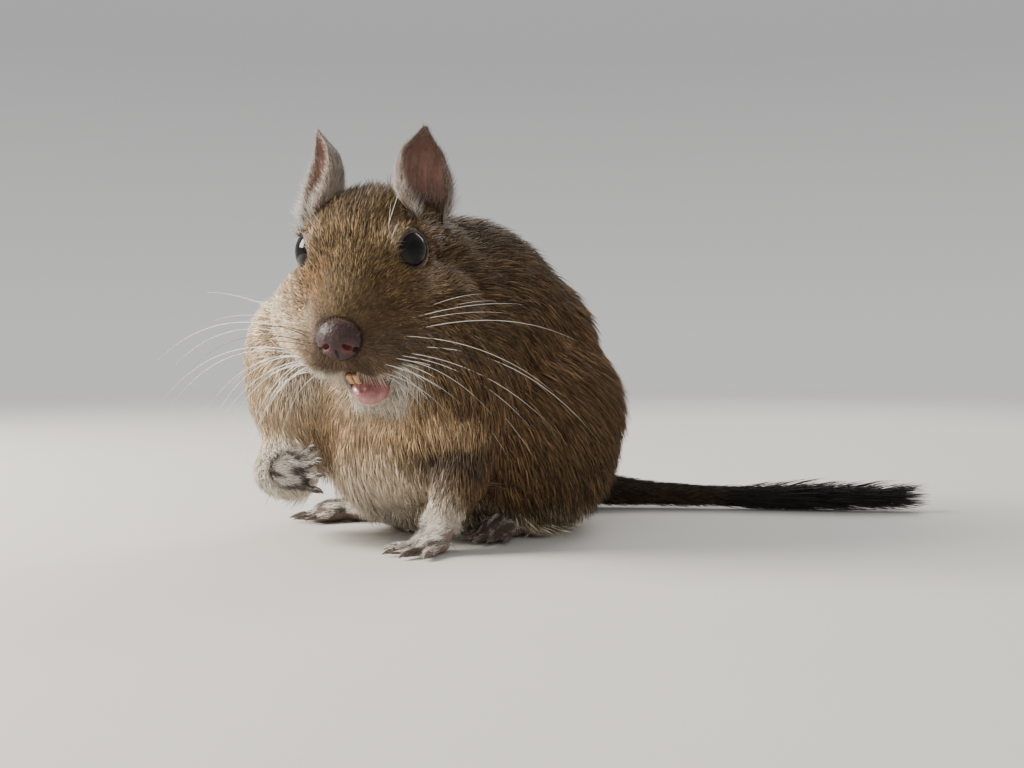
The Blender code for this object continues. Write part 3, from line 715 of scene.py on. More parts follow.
def mixed(tree, kind, factor, first, second):
    """A colour mix; factor, first and second are sockets or constants."""
    made = node(tree, "ShaderNodeMix", data_type="RGBA", blend_type=kind)
    for socket, value in ((0, factor), (6, first), (7, second)):
        if isinstance(value, bpy.types.NodeSocket):
            tree.links.new(value, made.inputs[socket])
        elif socket == 0:
            made.inputs[0].default_value = value
        else:
            made.inputs[socket].default_value = (*value, 1.0)
    return made.outputs[2]


def bumped(tree, shader, source, distance, strength=0.5):
    made = node(tree, "ShaderNodeBump")
    set_inputs(made, {"Strength": strength, "Distance": distance})
    tree.links.new(source, made.inputs["Height"])
    tree.links.new(made.outputs["Normal"], shader.inputs["Normal"])


def painted(tree, shader, shade):
    """The piece's own painted colour times a shade, as the base colour."""
    marking = attribute(tree, "marking").outputs["Color"]
    tree.links.new(mixed(tree, "MULTIPLY", 1.0, marking, shade), shader.inputs["Base Color"])


def coat_material():
    """Agouti hair: slate at the root, a clear band, and a tip that is dark where the back is."""
    made, tree, shader = shader_of("agouti_coat", 0.62)
    marking = attribute(tree, "marking").outputs["Color"]
    split = node(tree, "ShaderNodeSeparateColor")
    tree.links.new(attribute(tree, "strand").outputs["Color"], split.inputs["Color"])
    along, luck, tipping = split.outputs
    slate, dark = (0.42, 0.38, 0.36), (0.16, 0.14, 0.13)
    band, past_band = (1.15, 1.10, 1.03), (0.9, 0.85, 0.8)
    banded = ramp(tree, along, (0.0, slate), (0.45, band), (0.78, past_band), (1.0, dark))
    plain = ramp(tree, along, (0.0, (0.62, 0.6, 0.58)), (0.5, 1.05), (1.0, 1.15))
    shade = mixed(tree, "MIX", tipping, plain, banded)
    colour = mixed(tree, "MULTIPLY", 1.0, marking, shade)
    darkest, dusky = (0.22, 0.20, 0.19), (0.60, 0.56, 0.52)
    clear, bright = (1.1, 1.07, 1.0), (2.0, 1.95, 1.8)
    ticked = ramp(tree, luck, (0.0, darkest), (0.3, dusky), (0.7, clear), (1.0, bright))
    even = ramp(tree, luck, (0.0, (0.72, 0.70, 0.68)), (1.0, 1.15))
    spread = ramp(tree, tipping, (0.05, 0.0), (0.5, 1.0))
    varied = mixed(tree, "MIX", spread, even, ticked)
    colour = mixed(tree, "MULTIPLY", 1.0, colour, varied)
    tree.links.new(colour, shader.inputs["Base Color"])
    shader.inputs["Specular IOR Level"].default_value = 0.35
    return made


def skin_material():
    """The skin under the coat, in the coat's own markings, with the nap of the underfur."""
    made, tree, shader = shader_of("underfur", 0.9)
    nap = ramp(tree, noise(tree, 900.0), (0.3, (0.35, 0.33, 0.32)), (0.7, (0.75, 0.73, 0.7)))
    painted(tree, shader, nap)
    bumped(tree, shader, noise(tree, 1500.0), 0.0004)
    return made


def distance_to(tree, place):
    """A socket with the distance in millimetres to a point of the row's frame."""
    coordinates = node(tree, "ShaderNodeTexCoord")
    away = node(tree, "ShaderNodeVectorMath", operation="DISTANCE")
    tree.links.new(coordinates.outputs["Object"], away.inputs[0])
    away.inputs[1].default_value = place
    scaled = node(tree, "ShaderNodeMath", operation="MULTIPLY")
    tree.links.new(away.outputs["Value"], scaled.inputs[0])
    scaled.inputs[1].default_value = 1 / MM
    return scaled.outputs[0]


def bare_skin_material(name, roughness, grain, depth):
    """Fine-grained bare skin in the piece's own painted colours."""
    made, tree, shader = shader_of(name, roughness)
    mottle = ramp(tree, noise(tree, 700.0), (0.3, (0.82, 0.8, 0.8)), (0.7, (1.12, 1.1, 1.1)))
    painted(tree, shader, mottle)
    bumped(tree, shader, noise(tree, grain), depth)
    return made


def eye_material(name, colour, centre, gaze):
    """A near-black glossy eye with a thin, slightly lighter iris round a wide pupil."""
    made, tree, shader = shader_of(name, 0.05)
    front = np.array(centre) + gaze * EYE_RADIUS * MM
    scaled = node(tree, "ShaderNodeMath", operation="MULTIPLY")
    tree.links.new(distance_to(tree, tuple(front)), scaled.inputs[0])
    scaled.inputs[1].default_value = 0.1
    iris = tuple(c * 2.2 for c in colour)
    tone = ramp(tree, scaled.outputs[0], (0.28, colour), (0.31, iris), (0.40, iris), (0.44, colour))
    tree.links.new(tone, shader.inputs["Base Color"])
    shader.inputs["Specular IOR Level"].default_value = 0.2
    return made


def nose_material(colour):
    """Moist, pebbled skin, redder inside the nostrils."""
    made, tree, shader = shader_of("moist_nose", 0.5)
    shader.inputs["Specular IOR Level"].default_value = 0.35
    cells = node(tree, "ShaderNodeTexVoronoi", feature="SMOOTH_F1")
    cells.inputs["Scale"].default_value = 1700.0
    coordinates = node(tree, "ShaderNodeTexCoord")
    tree.links.new(coordinates.outputs["Object"], cells.inputs["Vector"])
    pebble = ramp(tree, cells.outputs["Distance"], (0.1, 1.12), (0.6, 0.75))
    toned = mixed(tree, "MULTIPLY", 1.0, colour, pebble)
    for side in (-1, 1):
        hole = tuple(HEAD @ Vector((side * 3.0, -0.9, -0.4)))
        scaled = node(tree, "ShaderNodeMapRange")
        tree.links.new(distance_to(tree, hole), scaled.inputs["Value"])
        set_inputs(scaled, {"From Min": 1.0, "From Max": 2.3, "To Min": 0.95, "To Max": 0.0})
        toned = mixed(tree, "MIX", scaled.outputs["Result"], toned, (0.11, 0.03, 0.026))
    tree.links.new(toned, shader.inputs["Base Color"])
    bumped(tree, shader, cells.outputs["Distance"], 0.0002, 0.6)
    return made


def wet_material(name, colour, roughness, grain, stretch=None):
    """Smooth wet flesh with fine folds."""
    made, tree, shader = shader_of(name, roughness)
    folds = noise(tree, grain, 4.0, stretch)
    deep = tuple(c * 0.6 for c in colour)
    tree.links.new(ramp(tree, folds, (0.35, deep), (0.65, colour)), shader.inputs["Base Color"])
    bumped(tree, shader, folds, 0.0003, 0.5)
    set_inputs(shader, {"Coat Weight": 0.7, "Coat Roughness": 0.12})
    return made


def hair_material(name, roughness):
    """Single long hairs, in the colour that each carries."""
    made, tree, shader = shader_of(name, roughness)
    painted(tree, shader, ramp(tree, noise(tree, 250.0), (0.3, 0.85), (0.7, 1.1)))
    return made


def claw_material():
    """Dark horn with a paler mottle."""
    made, tree, shader = shader_of("claw_horn", 0.35)
    grain = noise(tree, 900.0)
    tone = ramp(tree, grain, (0.3, (0.05, 0.035, 0.028)), (0.7, (0.16, 0.12, 0.09)))
    tree.links.new(tone, shader.inputs["Base Color"])
    bumped(tree, shader, grain, 0.0001, 0.3)
    return made


def ear_curl(t):
    """How far round the ear's curl reaches to each side, a share of the way up."""
    stations = (
        (0.0, 128), (0.14, 112), (0.34, 94), (0.58, 82), (0.78, 74), (0.92, 70), (1.0, 68),
    )
    for low, high in zip(stations, stations[1:]):
        if t <= high[0]:
            share = (t - low[0]) / (high[0] - low[0])
            return math.radians(low[1] + (high[1] - low[1]) * share)
    return math.radians(stations[-1][1])


def ear_axes(side):
    """Root, up and front of an ear, in the head's millimetres."""
    up = Vector((0, EAR_LEAN_BACK, math.sqrt(1 - EAR_LEAN_BACK**2)))
    opening = math.radians(EAR_OPENING)
    front = Vector((side * math.sin(opening), -math.cos(opening), 0))
    front = (front - up * front.dot(up)).normalized()
    return Vector((side * EAR_ROOT[0], *EAR_ROOT[1:])), up, front


def ear_midline(t, up, front):
    """Places on the ear's middle line, from its root, a share of the way up."""
    return np.outer(EAR_LENGTH * t - EAR_SUNK, up) + np.outer(1.2 * t - 1.6 * t * t, front)


def ear_places(side, spots, normals):
    """Share of the way up the ear, whether a place faces its inside, and how near the rim it is."""
    root, up, front = ear_axes(side)
    own = into(HEAD, spots) - np.array(root)
    turned = np.array(HEAD.to_3x3().inverted()) * MM
    facing = normals @ turned.T
    t = np.clip((own @ np.array(up) + EAR_SUNK) / EAR_LENGTH, 0, 1)
    out = own - ear_midline(t, up, front)
    out /= np.maximum(np.linalg.norm(out, axis=1), 1e-6)[:, None]
    inside = (facing * out).sum(1) < 0
    half = np.array([ear_curl(value) for value in t])
    angle = np.arccos(np.clip(-(out @ np.array(front)), -1, 1))
    rim = np.clip(angle / half, 0, 1.2)
    return t, inside, np.maximum(rim, np.where(t > 0.9, 1.0, 0.0))


def strands(name, paths, radii, sides=5, tones=None):
    """Long tapered hairs along paths of points, each with its radius at the root and its tone."""
    spots, faces, uv = [], [], []
    for path, thick in zip(paths, radii):
        first = len(spots)
        steps = len(path)
        for i, place in enumerate(path):
            ahead = path[min(i + 1, steps - 1)] - path[max(i - 1, 0)]
            ahead = Vector(ahead).normalized()
            across = ahead.orthogonal().normalized()
            up = ahead.cross(across)
            wide = thick * (1.0 - 0.9 * (i / (steps - 1)) ** 1.5)
            for k in range(sides):
                turn = 2 * math.pi * k / sides
                aside = across * (wide * math.cos(turn))
                spots.append(Vector(place) + aside + up * (wide * math.sin(turn)))
        for i in range(steps - 1):
            for k in range(sides):
                low, high = first + i * sides, first + (i + 1) * sides
                faces.append((low + k, low + (k + 1) % sides, high + (k + 1) % sides, high + k))
        faces.append(tuple(first + k for k in reversed(range(sides))))
        faces.append(tuple(first + (steps - 1) * sides + k for k in range(sides)))
    mesh = bpy.data.meshes.new(name)
    mesh.from_pydata(spots, [], faces)
    mesh.shade_smooth()
    if tones is not None:
        paint(mesh, "marking", np.repeat(np.array(tones), len(paths[0]) * sides, axis=0))
    return new_object(name, mesh)


def bent_path(root, direction, length, droop, steps=14):
    """A hair that leaves along a direction and bends towards the floor as it goes."""
    share = np.linspace(0, 1, steps)[:, None]
    down = np.array([0, 0, -1.0])
    return root + direction * length * (share - 0.12 * share**2) + down * length * droop * share**2


def onto_surface(thing, place):
    """The nearest point of a piece to a point of the head's frame."""
    _, spot, _, _ = thing.closest_point_on_mesh(HEAD @ Vector(place))
    return np.array(spot)


def colour_property(name, description, *default):
    return FloatVectorProperty(
        name=name, description=description, subtype="COLOR", size=3, default=default
    )


class DeguCoatSettings(bpy.types.PropertyGroup):
    """Sizes and colours of the coat."""

    density: FloatProperty(
        name="Density",
        description="Share of the full number of tufts",
        default=1.0,
        min=0.05,
        max=1.5,
        subtype="FACTOR",
    )
    length: FloatProperty(
        name="Length",
        description="Hair length compared with the species",
        default=1.0,
        min=0.5,
        max=1.3,
        subtype="FACTOR",
    )
    coat: colour_property("Coat", "General colour of the coat", 0.150, 0.094, 0.047)
    back: colour_property("Back", "Colour along the back", 0.085, 0.055, 0.030)
    flank: colour_property("Flank", "Colour of the flanks", 0.185, 0.116, 0.062)
    crown: colour_property("Crown", "Colour of forehead and bridge", 0.205, 0.143, 0.073)
    cheek: colour_property("Cheek", "Colour of the cheeks", 0.26, 0.17, 0.088)
    chest: colour_property("Chest", "Colour of the chest", 0.62, 0.45, 0.28)
    belly: colour_property("Belly", "Colour of the belly", 0.88, 0.76, 0.60)
    white: colour_property("White", "Colour of muzzle, chin and hands", 0.80, 0.73, 0.63)
    tail: colour_property("Tail", "Colour of the tail", 0.045, 0.030, 0.020)
    brush: colour_property("Brush", "Colour of the tail's brush", 0.014, 0.011, 0.010)


class DeguFaceSettings(bpy.types.PropertyGroup):
    """Colours of the bare parts and the whiskers."""

    eye: colour_property("Eye", "Colour of the eyes", 0.004, 0.003, 0.003)
    nose: colour_property("Nose", "Colour of the nose pad", 0.040, 0.019, 0.020)
    lip: colour_property("Lip", "Colour of the inner lip", 0.42, 0.165, 0.155)
    tooth: colour_property("Tooth", "Colour of the incisors", 0.58, 0.32, 0.14)
    ear: colour_property("Ear", "Colour inside the ears", 0.20, 0.095, 0.068)
    whisker_length: FloatProperty(
        name="Whiskers",
        description="Length of the longest whiskers",
        default=0.060,
        min=0.02,
        max=0.07,
        unit="LENGTH",
    )
    whisker_rows: IntProperty(
        name="Whisker rows", description="Rows of whiskers on each side", default=5, min=2, max=7
    )


class DeguStageSettings(bpy.types.PropertyGroup):
    """Floor, lights and camera."""

    floor: colour_property("Floor", "Colour of the floor", 0.62, 0.60, 0.56)
    lens: FloatProperty(
        name="Lens", description="Focal length of the camera", default=42.19, min=20, max=120, unit="CAMERA"
    )
    key_power: FloatProperty(
        name="Key light", description="Power of the main light", default=16.0, min=0, max=100, unit="POWER"
    )


TIP_DARKNESS = {
    "coat": 0.75, "back": 0.9, "flank": 0.6, "crown": 0.75, "cheek": 0.4, "chest": 0.2, "belly": 0.05,
    "white": 0.02, "tail": 0.7, "brush": 0.3,
}
SMALL_MARKINGS = {
    "muzzle": (0.19, 0.132, 0.085, 0.6),
    # The cream and fawn markings, used only on the right side, are pale fur with painted sunlight added.
    "cream": (0.72, 0.58, 0.41, 0.14),
    "fawn": (0.48, 0.34, 0.20, 0.35),
    "ginger": (0.34, 0.19, 0.085, 0.3),
    "eye_ring": (0.46, 0.335, 0.215, 0.1),
    "elbow": (0.065, 0.048, 0.037, 0.5),
    "nose_rim": (0.085, 0.05, 0.038, 0.3),
}


def coat_colours(settings):
    """Named colours with, as a fourth number, how dark the tips of the hairs are there."""
    own = {name: (*getattr(settings, name), dark) for name, dark in TIP_DARKNESS.items()}
    return {**own, **SMALL_MARKINGS}


def dressed(piece, look, *nodes, slot):
    """Gives a piece its material, hangs it on the root empty and hides the CAD nodes that it stands in for.
    """
    piece.data.materials.append(look)
    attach(piece, "root")
    if nodes:
        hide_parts(*nodes)


class DEGU_OT_skin(bpy.types.Operator):
    """Make the one skin that lies under the coat"""

    bl_idname = "degu.skin"
    bl_label = "Skin"

    def execute(self, context):
        skin = copy_of_nodes("skin", FLESH)
        melted(skin, 0.9, 8)
        sink(skin, lambda points: coat_fields(points)[2])
        spots = above_floor(skin)
        skin.data.shade_smooth()
        unwrapped(skin)
        colours = coat_colours(context.scene.degu_coat)
        value = marking_at(spots, colours)[:, :3]
        value[ellipsoid_holds(spots, *MOUTH)] = MOUTH_RED
        paint(skin.data, "marking", value)
        dressed(skin, skin_material(), *FLESH, slot="coat")
        return {"FINISHED"}


HEAD_COAT = ("coat_muzzle", "coat_face", "coat_cheeks")
BODY_COAT = (
    "coat_front_left", "coat_front_right", "coat_back_left", "coat_back_right",
    "coat_left_side", "coat_right_side", "coat_left_haunch", "coat_right_haunch", "coat_rump",
    "coat_left_arm", "coat_right_arm",
)
COAT_PARTS = (*HEAD_COAT, *BODY_COAT, "coat_tail")


def coat_part_of(spots):
    """Which piece of the coat each root belongs to, as an index into COAT_PARTS."""
    head, body = into(HEAD, spots), into(BODY, spots)
    left = body[:, 0] > 4
    name = np.where(left, "coat_left_side", "coat_right_side").astype(object)
    haunch = body[:, 1] > 16
    name[haunch] = np.where(left[haunch], "coat_left_haunch", "coat_right_haunch")
    back = body[:, 2] > 64
    name[back] = np.where(left[back], "coat_back_left", "coat_back_right")
    front = (body[:, 1] < -16) & (body[:, 2] < 64)
    name[front] = np.where(left[front], "coat_front_left", "coat_front_right")
    name[front & (body[:, 0] > 20)] = "coat_left_arm"
    name[front & (body[:, 0] < -18)] = "coat_right_arm"
    name[(body[:, 1] > 46)] = "coat_rump"
    in_head = ((head / np.array([34, 46, 40]) - np.array([0, 0.55, -0.1])) ** 2).sum(1) < 0.52
    name[in_head] = "coat_cheeks"
    name[in_head & (head[:, 1] <= 24)] = "coat_face"
    name[in_head & (head[:, 1] <= 12)] = "coat_muzzle"
    name[(body[:, 1] > 60) & (body[:, 2] < 16)] = "coat_tail"
    return name


class DEGU_OT_coat(bpy.types.Operator):
    """Cover the skin with the short agouti coat, in tufts that follow its lie"""

    bl_idname = "degu.coat"
    bl_label = "Coat"

    def execute(self, context):
        settings = context.scene.degu_coat
        draw = np.random.default_rng(SEED)
        skin = bpy.data.objects["skin"]

        def per_square_mm(points):
            length = coat_fields(points)[1] / MM
            under = np.clip(points[:, 2] / (4 * MM), 0.25, 1.0)
            return settings.density * under * np.clip(26.0 / length, 2.3, 10.0)

        roots = scatter(skin, per_square_mm, draw)
        grows = ~is_bare(roots.spots) & (roots.spots[:, 2] > 0.0006)
        roots = picked(roots, grows)
        part = coat_part_of(roots.spots)
        colours = coat_colours(settings)
        look = coat_material()
        for name in COAT_PARTS:
            mine = picked(roots, part == name)
            piece = self.piece_of(name, mine, colours, settings.length, draw, name != "coat_muzzle")
            dressed(piece, look, slot="tail_coat" if name == "coat_tail" else "coat")
        return {"FINISHED"}

    def piece_of(self, name, roots, colours, long, draw, bent):
        count = len(roots.spots)
        lie, length, _ = coat_fields(roots.spots)
        clump = ripple(roots.spots, 0.007, SEED + 2)
        stray = draw.normal(0, 0.12, (count, 3))
        lie = lie + 0.16 * clump + stray
        longer, steeper = puffed(roots.spots)
        length = length * longer * long * draw.uniform(0.75, 1.2, count)
        width = (0.11 + 0.022 * length / MM) * MM * draw.uniform(0.7, 1.3, count)
        rise = np.radians(17 + steeper + 6 * draw.normal(size=count).clip(-1.5, 2))
        value = marking_at(roots.spots, colours)
        value[:, :3] *= 1 - 0.75 * whisker_dots(roots.spots)[:, None]
        streak = 1 + 0.26 * ripple(roots.spots, 0.003, SEED + 3, 1)
        marking = value[:, :3] * streak
        tipping = np.clip(value[:, 3] * draw.uniform(0.4, 1.3, count), 0, 1)
        return tuft_mesh(name, roots, lie, length, width, rise, marking, tipping, draw, bent)


LID_WIDTH = 24.0
LID_STEPS = 64
LID_SIDES = 12


def lid_opening(turn):
    """How far from the gaze the edge of the lids lies, in degrees, round the eye from its front."""
    return 46.0 + 13.0 * np.abs(np.cos(turn)) ** 3 + 4.5 * np.sin(turn)


def shallower(height):
    """Brings the front of the eyeball in by a fifth, past 2 mm from its centre."""
    return height if height < 2.0 * MM else 2.0 * MM + 0.8 * (height - 2.0 * MM)


def eye_axes(side, gaze):
    """The eye's own axes as columns: towards its front corner, towards its upper lid, and the gaze."""
    forward = Vector(heading(HEAD, (side * -0.3, -1, -0.1)))
    front = (forward - gaze * forward.dot(gaze)).normalized()
    return Matrix((front, gaze.cross(front) * -side, gaze)).transposed()


class DEGU_OT_eyes(bpy.types.Operator):
    """Make the eyes, their downy lids and their lashes"""

    bl_idname = "degu.eyes"
    bl_label = "Eyes"

    def execute(self, context):
        colour = tuple(context.scene.degu_face.eye)
        for side, name in ((-1, "right"), (1, "left")):
            low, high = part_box("eye_" + name)
            centre = (low + high) / 2
            gaze = heading(HEAD, (side * EYE_GAZE[0], EYE_GAZE[1], EYE_GAZE[2]))
            ball = self.ball("eyeball_" + name, centre, Vector(gaze))
            dressed(ball, eye_material("glossy_eye_" + name, colour, centre, gaze), "eye_" + name, slot="eye")
            lid = self.lid("eyelid_" + name, side, centre, Vector(gaze))
            unwrapped(lid)
            paint_all(lid, (0.05, 0.032, 0.025))
            dressed(lid, bare_skin_material("lid_skin_" + name, 0.55, 2500.0, 0.0002), slot="nose")
            down = self.down(side, "eyelid_" + name + "_down", lid, centre, gaze)
            dressed(down, hair_material("lid_down_" + name, 0.6), slot="coat")
            lashes = self.lashes(side, "lashes_" + name, centre, gaze)
            dressed(lashes, hair_material("lash_" + name, 0.4), slot="coat")
        return {"FINISHED"}

    def ball(self, name, centre, gaze):
        """A globe that is a little flatter in front than a sphere."""
        bm = bmesh.new()
        facing = gaze.to_track_quat("Z", "Y").to_matrix().to_4x4()
        bmesh.ops.create_uvsphere(bm, u_segments=40, v_segments=28, radius=EYE_RADIUS * MM)
        for vert in bm.verts:
            vert.co.z = shallower(vert.co.z)
        bmesh.ops.transform(bm, matrix=Matrix.Translation(centre) @ facing, verts=bm.verts)
        return object_from(name, bm)

    def lid(self, name, side, centre, gaze):
        """Both lids as one band that hugs the eyeball round an almond-shaped opening."""
        bm = bmesh.new()
        matrix = Matrix.Translation(centre) @ eye_axes(side, gaze).to_4x4()
        rings = []
        for i in range(LID_STEPS):
            turn = 2 * math.pi * i / LID_STEPS
            ring = []
            for k in range(LID_SIDES):
                section = 2 * math.pi * k / LID_SIDES
                angle = math.radians(lid_opening(turn) + LID_WIDTH * (math.cos(section) + 1) / 2)
                far = (EYE_RADIUS + 0.06 + 0.30 * math.sin(section)) * MM
                flat = far * math.sin(angle)
                height = shallower(far * math.cos(angle))
                place = Vector((flat * math.cos(turn), flat * math.sin(turn), height))
                ring.append(bm.verts.new(matrix @ place))
            rings.append(ring)
        tube(bm, [*rings, rings[0]], capped=False)
        return object_from(name, bm)

    def down(self, side, name, lid, centre, gaze):
        """Short pale hair on the lids, away from the bare dark edge."""
        draw = np.random.default_rng(SEED + 90 + side)
        roots = scatter(lid, lambda points: np.full(len(points), 11.0), draw)
        away = roots.spots - np.array(centre)
        away /= np.linalg.norm(away, axis=1)[:, None]
        outward = (roots.normals * away).sum(1) > 0.3
        axes = np.array(eye_axes(side, Vector(gaze)))
        own = away @ axes
        angle = np.degrees(np.arccos(np.clip(own[:, 2], -1, 1)))
        turn = np.arctan2(own[:, 1], own[:, 0])
        past_edge = angle - lid_opening(turn) > 6.5
        keep = outward & past_edge
        roots = picked(roots, keep)
        count = len(roots.spots)
        lie = np.tile(heading(HEAD, (side * 0.35, 1, -0.1)), (count, 1)) + 0.7 * away[keep]
        lie += draw.normal(0, 0.15, (count, 3))
        length = draw.uniform(0.9, 1.5, count) * MM
        degrees = 16 + draw.normal(0, 5, count)
        value = np.array((0.40, 0.28, 0.17)) * draw.uniform(0.5, 1.25, (count, 1))
        return short_hair(name, roots, lie, length, 0.13, degrees, value, draw)

    def lashes(self, side, name, centre, gaze):
        """Fine dark lashes along the upper lid."""
        draw = np.random.default_rng(SEED + 95 + side)
        axes = eye_axes(side, Vector(gaze))
        paths, radii = [], []
        for i in range(13):
            turn = math.radians(25 + 130 * i / 12)
            angle = math.radians(lid_opening(turn) + 2.0)
            flat, far = math.sin(angle), math.cos(angle)
            height = shallower(far * EYE_RADIUS * MM) / (EYE_RADIUS * MM)
            out = axes @ Vector((flat * math.cos(turn), flat * math.sin(turn), height))
            root = np.array(centre) + np.array(out) * (EYE_RADIUS + 0.2) * MM
            aim = np.array((out + Vector(gaze) * 0.25 + Vector((0, 0, 0.35))).normalized())
            paths.append(bent_path(root, aim, draw.uniform(1.8, 2.8) * MM, -0.15, 5))
            radii.append(0.05 * MM)
        piece = strands(name, paths, radii, 3)
        paint_all(piece, (0.05, 0.035, 0.03))
        return piece


class DEGU_OT_nose_and_mouth(bpy.types.Operator):
    """Make the nose pad, the inner lip and the incisors"""

    bl_idname = "degu.nose_and_mouth"
    bl_label = "Nose and mouth"

    def execute(self, context):
        settings = context.scene.degu_face
        nose = copy_of_nodes("nose_pad", ["nose"])
        melted(nose, 0.2, 6)
        self.open_nostrils(nose)
        nose.data.shade_smooth()
        unwrapped(nose)
        dressed(nose, nose_material(tuple(settings.nose)), "nose", slot="nose")
        rim = self.nose_rim(nose)
        dressed(rim, hair_material("nose_rim_hair", 0.6), slot="coat")
        fringe = self.lip_fringe()
        dressed(fringe, hair_material("lip_hair", 0.5), slot="coat")
        lip = copy_of_nodes("inner_lip", ["lower_lip"])
        melted(lip, 0.25, 8)
        lip.data.shade_smooth()
        flesh = wet_material("wet_lip", tuple(settings.lip), 0.3, 500.0, (3.0, 3.0, 0.6))
        dressed(lip, flesh, "lower_lip", slot="lip")
        teeth = self.incisors()
        enamel = wet_material("orange_enamel", tuple(settings.tooth), 0.25, 800.0)
        dressed(teeth, enamel, "upper_incisors", slot="tooth")
        return {"FINISHED"}

    def nose_rim(self, nose):
        """Short dark hair that blurs the edge of the pad."""
        draw = np.random.default_rng(SEED + 100)
        roots = scatter(nose, lambda points: np.full(len(points), 13.0), draw)
        own = into(HEAD, roots.spots)
        out = np.sqrt((own[:, 0] / 6.4) ** 2 + ((own[:, 2] - 0.3) / 5.6) ** 2)
        at_top = np.clip(own[:, 2] / 6.0, 0, 1)
        roots = picked(roots, out > 0.90 - 0.14 * at_top + draw.normal(0, 0.03, len(out)))
        own = into(HEAD, roots.spots)
        count = len(own)
        sideways = np.stack([own[:, 0] / 6.4, np.zeros(count), own[:, 2] / 5.6], 1)
        turned = np.array(HEAD.to_3x3()) / MM
        lie = sideways @ turned.T + heading(HEAD, (0, 1.2, 0)) + draw.normal(0, 0.15, (count, 3))
        length = draw.uniform(1.1, 1.9, count) * MM
        degrees = 15 + draw.normal(0, 6, count)
        value = np.array((0.12, 0.075, 0.05)) * draw.uniform(0.5, 1.5, (count, 1))
        return short_hair("nose_rim_hair", roots, lie, length, 0.12, degrees, value, draw)

    def lip_fringe(self):
        """Fine pale hairs that hang from the upper lip across the inner lip."""
        draw = np.random.default_rng(SEED + 110)
        skin = bpy.data.objects["skin"]
        paths, radii, tones = [], [], []
        for i in range(70):
            across = draw.uniform(-10.5, 10.5)
            start = onto_surface(skin, (across, 2.6 + 0.12 * abs(across), -13.0))
            aim = heading(HEAD, (0.035 * across + 0.1 * draw.normal(), -0.05 + 0.12 * draw.normal(), -1.0))
            paths.append(bent_path(start, aim, draw.uniform(2.6, 4.6) * MM, 0.1, 6))
            radii.append(0.06 * MM)
            tones.append(np.array((0.72, 0.64, 0.55)) * draw.uniform(0.75, 1.15))
        return strands("lip_fringe", paths, radii, 3, tones)

    def open_nostrils(self, nose):
        """Deepens the two commas that run from the front of the pad round to its sides."""
        mesh = nose.data
        mesh.update()
        spots, normals = spots_of(mesh), normals_of(mesh)
        own = into(HEAD, spots)
        sunk = np.zeros(len(spots))
        for side in (-1, 1):
            for i in range(13):
                t = i / 12
                middle = np.array((side * (2.0 + 3.0 * t), -2.6 + 2.2 * t, -1.5 + 2.0 * math.sin(1.6 * t)))
                wide = 1.15 - 0.55 * t
                away = np.linalg.norm(own - middle, axis=1) / wide
                sunk = np.maximum(sunk, np.clip(1.25 - away, 0, 1) * (1.9 - 0.9 * t))
        spots -= normals * (sunk * MM)[:, None]
        mesh.vertices.foreach_set("co", spots.ravel())
        mesh.update()

    def incisors(self):
        """The upper pair: flat chisels that curve back and end in a slanted edge."""
        bm = bmesh.new()
        for side in (-1, 1):
            rings = []
            for i in range(9):
                t = i / 8
                middle = Vector((side * 0.85, 4.6 + 1.3 * t * t, -11.6 - 3.9 * t))
                wide, deep = 0.76 - 0.05 * t, 0.72 - 0.45 * t * t
                ring = []
                for k in range(16):
                    turn = 2 * math.pi * k / 16
                    x = math.copysign(abs(math.cos(turn)) ** 0.6, math.cos(turn)) * wide
                    y = math.copysign(abs(math.sin(turn)) ** 0.7, math.sin(turn)) * deep
                    ring.append(bm.verts.new(HEAD @ (middle + Vector((x, y, 0.15 * y)))))
                rings.append(ring)
            tube(bm, rings)
        return object_from("incisors", bm)


